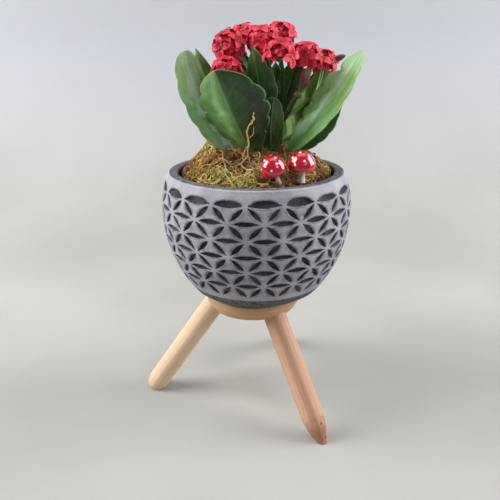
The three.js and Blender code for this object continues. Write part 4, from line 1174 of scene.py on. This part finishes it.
def standing_piece():
    """The long strands that stand up in front of the big leaf, each with its own curl."""
    form = Form()
    share = np.linspace(0, 1, STANDING_STATIONS)
    # The standing strands' starts get a little of that painted shade.
    marks = stacked(0.72 + 0.2 * share, 0.3 + share, 0)
    for points, thick, curl, turns in STANDING:
        angle = 2 * np.pi * turns * share
        swing = curl * share[:, None] * stacked(np.cos(angle), np.sin(angle), 0.6 * np.sin(2 * angle))
        path = smooth_path(points, STANDING_STATIONS) + swing
        form.tubes(path, thick * (1 - STANDING_TAPER * share), STANDING_SIDES, marks)
    form.piece("moss_standing", [STRANDS], loose=True)


# Leaves


def blade_width(leaf, q, notch, slim):
    """Half the width of the blade or its stalk on one side, at a share q of the blade's length."""
    outline = np.sin(np.pi * np.clip(q, 0, 1) ** leaf["widest"]) ** leaf["blunt"]
    along = np.clip(q - TOOTH_START, 0, 1) / (1 - TOOTH_START)
    tooth = np.where(q < TOOTH_START, 1, np.abs(np.sin(np.pi * leaf["teeth"] * along)))
    blade = leaf["half"] * outline * (1 - TOOTH_CUT * notch * (1 - np.sqrt(tooth)))
    stalk = STALK_HALF * np.clip(1 - q, 0, 1)
    half = np.where(q > 0.5, np.maximum(blade, LEAST_HALF), np.hypot(blade, stalk))
    slimmer = (1 - slim) * np.clip((q - SLIM_START) / SLIM_RUN, 0, 1)
    return np.where(q > 0, half, STALK_HALF) * (1 - slimmer)


def leaf_form(form, leaf, rows=LEAF_ROWS, columns=LEAF_COLUMNS, inks=(0, 1, 2)):
    """A leaf with its stalk. The inks are those of its upper side, its under side and its rim."""
    s = np.sin(np.linspace(0, np.pi / 2, rows))
    at, along = bezier(leaf["root"], leaf["bend"], leaf["tip"], s)
    face = np.array(leaf["face"], float)
    up = unit(face - (along @ face)[:, None] * along)
    side = np.cross(along, up)
    q = ((s - leaf["stalk"]) / (1 - leaf["stalk"]))[:, None]
    blade = np.clip(q, 0, 1)
    u = np.sin(np.linspace(-np.pi / 2, np.pi / 2, columns))
    left, right = (blade_width(leaf, q, notch, slim) for notch, slim in zip(leaf["notch"], leaf["slim"]))
    half = np.where(u > 0, right, left)
    grown = np.clip(4 * q, 0, 1)
    inside = np.sqrt(1 - u**2)
    lift = leaf["fold"] * grown * half * np.abs(u) ** FOLD_ROUNDING
    phase = LEAF_VEINS * blade - VEIN_SLANT * np.abs(u) ** VEIN_BEND
    pillow = PUFF_RISE * np.abs(np.sin(np.pi * phase)) ** 0.6 - PUFF_DROP
    puff = grown * inside * pillow * (1 - np.abs(u) ** 6)
    rib = grown * np.exp(-((u * half / RIB_HALF) ** 2))
    wave = WAVE_RISE * grown * u**2 * np.sin(2 * np.pi * (WAVES * q + leaf["half"]) + 2 * np.sign(u))
    middle = BLADE_MIDDLE * np.clip(1.1 - 0.5 * blade, 0.3, 1)
    thick = BLADE_EDGE + (middle - BLADE_EDGE) * inside
    centre = at[:, None] + side[:, None] * (u * half * FOLD_DRAW)[..., None]
    upper = centre + up[:, None] * (lift + wave + thick / 2 + puff - 0.4 * rib)[..., None]
    under = centre + up[:, None] * (lift + wave - thick / 2 + puff * 0.6 - 0.35 * rib)[..., None]
    across = np.concatenate([u, u[::-1]])
    tone = leaf["tone"]
    place, gleam = leaf["gleam"]
    strip = gleam * np.exp(-(((across - place) / PAINTED_SHEEN_HALF) ** 2)) * np.sin(np.pi * blade)
    # The third mark: the leaf's tone, painted light on one half, the fade to the tip, and a strip of painted
    # sheen.
    shade = tone + leaf["cast"] * np.tanh(4 * across) + leaf["fade"] * (q - 0.5) + strip
    top, below, rim = inks
    ink = [below] * (columns - 1) + [rim] + [top] * (columns - 1) + [rim]
    ring = np.concatenate([under, upper[:, ::-1]], axis=1)
    numbers = form.grid(ring, stacked(across, blade, shade), around=True, ink=ink)
    form.close(numbers[0], at[0], (0, 0, tone), start=True, ink=below)
    form.close(numbers[-1], at[-1] + up[-1] * lift[-1].mean(), (0, 1, tone), ink=rim)


def leaf_piece(leaf):
    form = Form()
    leaf_form(form, leaf)
    # Some leaves take the lighter, yellower green, partly as painted light.
    upper = LEAF_YELLOWER_PAINTED_LIT if leaf["young"] else LEAF
    form.piece(leaf["name"], [upper, LEAF_UNDER, LEAF_RIM], weld=True)


# Stem


def stem_piece():
    form = Form()
    trunk = smooth_path(TRUNK, TRUNK_ROWS)
    nodes = 1 + NODE_SWELL * np.exp(-18 * np.sin(trunk[:, 2] / NODE_STEP * np.pi) ** 2)
    form.tubes(trunk[:, :3], trunk[:, 3] * nodes, TRUNK_SIDES, (0, 0, 0.3), reference=(0, 1, 0))
    share = np.linspace(0, 1, BRANCH_ROWS)
    joint = 1 + JOINT_SWELL * np.exp(-500 * (share - JOINT_PLACE) ** 2)
    radii = (BRANCH_RADIUS - BRANCH_TAPER * share) * joint
    for head in HEADS:
        sag = np.add(head["from"], head["core"]) / 2 - (0, 0, BRANCH_SAG)
        path, _ = bezier(head["from"], head["via"] or sag, head["core"], share)
        form.tubes(path, radii, BRANCH_SIDES, (0, 0, 0.55), reference=(0.1, 1, 0.1))
    for bract in BRACTS:
        leaf_form(form, bract, BRACT_ROWS, BRACT_COLUMNS, (1, 2, 3))
    # The bracts take the lighter, yellower green, partly as painted light.
    form.piece("stem", [STEM, LEAF_YELLOWER_PAINTED_LIT, LEAF_UNDER, LEAF_RIM], weld=True)


# Flowers


def draws(seed):
    """The seeded numbers from 0 to 1 that placed the frame's florets."""
    while True:
        seed = (seed * RANDOM_FACTOR + RANDOM_STEP) % 2**32
        yield seed / 2**32


def direction(head, polar, turn):
    """A direction from a head's core, polar degrees off its aim."""
    polar = math.radians(polar)
    return turn_to(head["aim"]) @ round_axis(math.sin(polar), turn, math.cos(polar))


def floret_places(head):
    """The frame's florets of a head and smaller ones between them: direction, reach, spin and size."""
    seed, count = head["seed"], head["count"]
    draw = draws(seed)
    ways = []
    for i in range(count):
        polar = (RING_TILT if i else 0) + JITTER * (next(draw) - 0.5)
        turn = 2 * math.pi * i / (count - 1) + seed + math.radians(JITTER) * (next(draw) - 0.5)
        ways.append(direction(head, polar, turn))
    places = [(out, head["reach"], next(draw) * math.pi, 0.92 + 0.16 * next(draw)) for out in ways]
    rng = np.random.default_rng(seed)
    for filler in FILLERS if count else []:
        for i in range(filler["count"]):
            polar = filler["tilt"] + rng.uniform(-FILLER_TILT, FILLER_TILT)
            turn = 2 * math.pi * (i + 0.5) / filler["count"] + seed + rng.uniform(-FILLER_TURN, FILLER_TURN)
            reach = head["reach"] * filler["share"] + rng.uniform(-FILLER_REACH, FILLER_REACH)
            size = filler["size"] * rng.uniform(0.92, 1.06)
            spin = rng.uniform(0, math.pi)
            out = direction(head, polar, turn)
            if out[2] > head["lowest"]:
                places.append((out, reach, spin, size))
    return places


def petal_shape():
    """One petal pointing along +X, as rings of points with their marks."""
    v = np.linspace(0, 1, PETAL_ROWS)[:, None]
    u = np.linspace(-1, 1, PETAL_COLUMNS)
    half = PETAL_HALF * np.sin(np.pi * (0.12 + 0.855 * v)) ** 0.7
    x = PETAL_START + (PETAL_REACH - PETAL_START) * v - 1.05 * np.abs(u) ** 3 * np.clip(v - 0.7, 0, 1)
    z = -0.7 + 2.8 * v - 3.1 * v**2 + 0.35 * u**2 - 0.14 * np.exp(-((u / 0.25) ** 2))
    thick = 0.16 + 0.12 * (1 - u**2)
    upper, under = (stacked(x, u * half, z + sign * thick / 2) for sign in (1, -1))
    return np.concatenate([under, upper[:, ::-1]], axis=1), stacked(v, np.concatenate([u, u[::-1]]), 0)


PETAL_RING, PETAL_MARKS = petal_shape()


def petals(form, put, spin, size, tone, rng):
    opening = rng.uniform(*OPENING)
    for k in range(PETALS):
        ring = PETAL_RING * (size, size * rng.uniform(0.92, 1.08), size)
        ring = turned(ring, "X", rng.uniform(-PETAL_ROLL, PETAL_ROLL))
        ring = turned(ring, "Y", rng.uniform(-PETAL_TURN, PETAL_TURN) - opening)
        ring = put(turned(ring, "Z", spin + k * math.pi / 2 + rng.uniform(-PETAL_TURN, PETAL_TURN)))
        marks = PETAL_MARKS + (0, 0, tone + rng.uniform(-PETAL_SHADE, PETAL_SHADE))
        numbers = form.grid(ring, marks, around=True)
        for end, start in ((0, True), (-1, False)):
            form.close(numbers[end], ring[end].mean(0), marks[end, 0], start)


def calyx(form, put, spin, size, rng):
    """Narrow green sepals round the foot of the tube."""
    v = np.linspace(0, 1, len(SEPAL_RADII))
    path = stacked(1.25 + 0.75 * v**1.5, 0, 0.3 - CALYX_DEPTH + SEPAL_RISE * v) * size
    for k in range(PETALS):
        sepal = turned(path, "Z", spin + (k + 0.5) * math.pi / 2 + rng.uniform(-0.1, 0.1))
        marks = (0, 0, rng.uniform(0.3, 0.8))
        form.tubes(put(sepal), SEPAL_RADII * size, THIN_SIDES, marks, ink=1, reference=(0.4, 0.5, 0.2))


def anthers(form, put, spin, size):
    """Small yellow anthers in the throat."""
    for k in range(PETALS):
        path = round_axis(ANTHER_PLACE, spin + k * math.pi / 2, np.array(ANTHER_STEPS)) * size
        form.tubes(put(path), ANTHER_RADII * size, THIN_SIDES, (0, 0, 0.5), reference=(0.6, 0.5, 0.1))


def floret(form, core, out, reach, spin, size, rng):
    """A floret on its stalk, with its petals, tube, calyx and anthers."""
    east = unit(np.array([1, 0, 0]) - out * out[0])
    basis = np.stack([east, np.cross(out, east), out])
    at = core + out * (reach - FLORET_SINK)

    def put(points):
        return at + points @ basis

    tone = rng.uniform(0.05, 1)
    petals(form, put, spin, size, tone, rng)
    tube = np.array(TUBE)
    outline = np.vstack([(0, -CALYX_DEPTH), tube[:, :2], (0, THROAT)]) * size
    form.lathe(outline, TUBE_SIDES, at, out, stacked(tube[:, 2], 0, tone / 2)[:, None])
    calyx(form, put, spin, size, rng)
    anthers(form, put, spin, size)
    foot = core + out * PEDICEL_START
    top = at - out * (CALYX_DEPTH - 0.4) * size
    if np.dot(top - foot, out) > 0.4:
        form.tubes(np.linspace(foot, top, 3), PEDICEL_RADIUS, PEDICEL_SIDES, (0, 0, 0.5), ink=1)


def bud(form, core, at):
    """A closed bud on its stalk, with the seams of its four petals."""
    out = unit(np.subtract(at, core))
    outline = np.vstack([(0, BUD_FOOT), smooth_path(BUD_OUTLINE, BUD_ROWS), (0, BUD_END)])
    form.lathe(outline, BUD_SIDES, at, out, np.linspace(0, 1, BUD_ROWS)[:, None, None] * (1, 0, 0), ink=2)
    points = form.points[-3]
    middle = at + ((points - at) @ out)[:, None] * out
    seam = 1 - BUD_SEAM * np.abs(np.cos(2 * np.tile(circle(BUD_SIDES), BUD_ROWS))) ** 6
    form.points[-3] = middle + (points - middle) * seam[:, None]
    stalk = np.linspace(core + out * 0.5, at - out * 4.6, 8)
    form.tubes(stalk, np.linspace(0.75, 1, 8), BUD_STALK_SIDES, (0, 0, 0.4), ink=1)


def head_piece(head):
    form = Form()
    rng = np.random.default_rng(100 + head["seed"])
    polar = np.linspace(0, np.pi, CORE_ROWS)
    outline = CORE_RADIUS * stacked(np.sin(polar), -np.cos(polar))
    form.lathe(outline, CORE_SIDES, head["core"], marks=CORE_SHADE, ink=1)
    for out, reach, spin, size in floret_places(head):
        floret(form, head["core"], out, reach, spin, size, rng)
    for place in head["buds"]:
        bud(form, head["core"], place)
    looks = [PETAL, CALYX, BUD_BROWN if head["count"] else BUD_PINK]
    form.piece(head["name"], looks)


# Toadstools


def spot_places(seed):
    """Spread directions over the top of a cap."""
    rng = np.random.default_rng(seed)
    order = np.arange(SPOT_COUNT)
    height = 1 - SPOT_SPAN * (order + 0.5) / SPOT_COUNT
    turn = GOLDEN_ANGLE * order + seed + rng.uniform(-SPOT_TURN, SPOT_TURN, SPOT_COUNT)
    return round_axis(np.sqrt(1 - height**2), turn, height)


def cap_piece(pick):
    form = Form()
    radius = pick["radius"]
    outline = smooth_path(CAP_OUTLINE, CAP_RINGS) * radius + (0, CLEARANCE)
    outline[[0, -1], 0] = 0
    form.lathe(outline, CAP_SIDES)
    points = form.points[0]
    ways = unit(points - (0, 0, CAP_MIDDLE * radius))
    apart = np.arccos(np.clip(ways @ spot_places(pick["seed"]).T, -1, 1)).min(axis=1)
    spot = np.clip(1.5 - apart / SPOT_REACH, 0, 1) * (points[:, 2] > SPOT_LOWEST * radius)
    points = points + ways * (SPOT_RISE * spot)[:, None]
    turn = turn_to(np.subtract(pick["cap"], pick["foot"]))
    form.points = [each @ turn.T + pick["cap"] for each in [points] + form.points[1:]]
    marks = stacked(spot, points[:, 2] / (CAP_HEIGHT * radius), 0)
    form.marks = [marks] + [0 * each for each in form.marks[1:]]
    form.piece(pick["name"] + "_cap", [CAP], weld=True)


def pick_piece(pick):
    along = np.subtract(pick["cap"], pick["foot"])
    length = np.linalg.norm(along)
    knots = [(pick["stalk"] * width, length * share + more) for width, share, more in STALK_OUTLINE]
    body = smooth_path([(WIRE_RADIUS, WIRE_END)] + knots, STALK_ROWS)
    wire = [(0, WIRE_START), (WIRE_RADIUS, WIRE_START + WIRE_BEVEL)]
    form = Form()
    form.lathe(np.vstack([wire, body, (0, length)]), STALK_SIDES, pick["foot"], along)
    form.piece(pick["name"] + "_pick", [STALK], weld=True, sharp=STALK_SHARP)


# Stage: the camera, the lights and the backdrop


def make_camera():
    yaw, pitch, roll = (math.radians(a) for a in (CAMERA_YAW, CAMERA_PITCH, CAMERA_ROLL))
    ahead = Vector((math.sin(yaw) * math.cos(pitch), math.cos(yaw) * math.cos(pitch), -math.sin(pitch)))
    right = Vector((math.cos(yaw), -math.sin(yaw), 0))
    tilted = math.cos(roll) * right + math.sin(roll) * right.cross(ahead)
    turn = Matrix((tilted, tilted.cross(ahead), -ahead)).transposed().to_4x4()
    data = bpy.data.cameras.new("camera")
    data.lens = LENS
    data.sensor_width = SENSOR
    data.clip_start, data.clip_end = CLIP
    camera = bpy.data.objects.new("camera", data)
    camera.matrix_world = Matrix.Translation(Vector(EYE) * MM + Vector(AXIS)) @ turn
    bpy.context.scene.collection.objects.link(camera)
    bpy.context.scene.camera = camera


def make_light(name, place, aim, size, power, colour):
    data = bpy.data.lights.new(name, "AREA")
    data.shape = "RECTANGLE"
    data.size, data.size_y = size
    data.energy = power
    data.color = colour
    lamp = bpy.data.objects.new(name, data)
    lamp.location = Vector(place)
    lamp.rotation_mode = "QUATERNION"
    lamp.rotation_quaternion = (Vector(place) - Vector(aim)).to_track_quat("Z", "Y")
    bpy.context.scene.collection.objects.link(lamp)


def make_backdrop():
    """A pale floor that curves up into a wall behind the object."""
    bend = np.linspace(0, np.pi / 2, CURVE_ROWS)
    curve = stacked(WALL_PLACE + WALL_CURVE * np.sin(bend), WALL_CURVE * (1 - np.cos(bend)))
    profile = np.vstack([(FLOOR_FRONT, 0), FLOOR_MIDDLE, curve, (WALL_PLACE + WALL_CURVE, WALL_TOP)])
    x = np.linspace(-BACKDROP_HALF, BACKDROP_HALF, BACKDROP_COLUMNS)
    form = Form()
    form.grid(stacked(x, profile[:, :1], profile[:, 1:]))
    mesh = bpy.data.meshes.new("backdrop")
    mesh.from_pydata(form.points[0].tolist(), [], form.faces[4])
    mesh.shade_smooth()
    mesh.materials.append(backdrop_look())
    floor = bpy.data.objects.new("backdrop", mesh)
    bpy.context.scene.collection.objects.link(floor)


def make_world():
    world = bpy.data.worlds.new("studio")
    world.use_nodes = True
    background = world.node_tree.nodes["Background"]
    background.inputs["Color"].default_value = srgb(225, 229, 238)
    background.inputs["Strength"].default_value = WORLD_POWER
    bpy.context.scene.world = world
    bpy.context.scene.view_settings.view_transform = "Standard"


make_camera()
make_backdrop()
make_world()
for each in LIGHTS:
    make_light(*each)

plate_piece()
for each in LEGS:
    leg_piece(each)
bowl_piece()
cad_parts["soil"].data.materials.clear()
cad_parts["soil"].data.materials.append(SOIL)
moss_piece()
strands_piece("moss_mat", seed=4, clumps=250, strands=10, spread=3, length=10, lift=2.6, curl=0.5, thick=0.3,
              sides=3, stations=6, dark=0.25)
strands_piece("moss_tufts", seed=6, clumps=150, strands=17, spread=2.1, length=12, lift=5.2, curl=0.6,
              thick=0.36, sides=3, stations=8)
strands_piece("moss_curls", seed=5, clumps=110, strands=4, spread=3, length=24, lift=6.4, curl=0.55,
              thick=0.46, sides=4, stations=15)
standing_piece()
stem_piece()
for each in LEAVES:
    leaf_piece(each)
for each in HEADS:
    head_piece(each)
for each in PICKS:
    pick_piece(each)
    cap_piece(each)
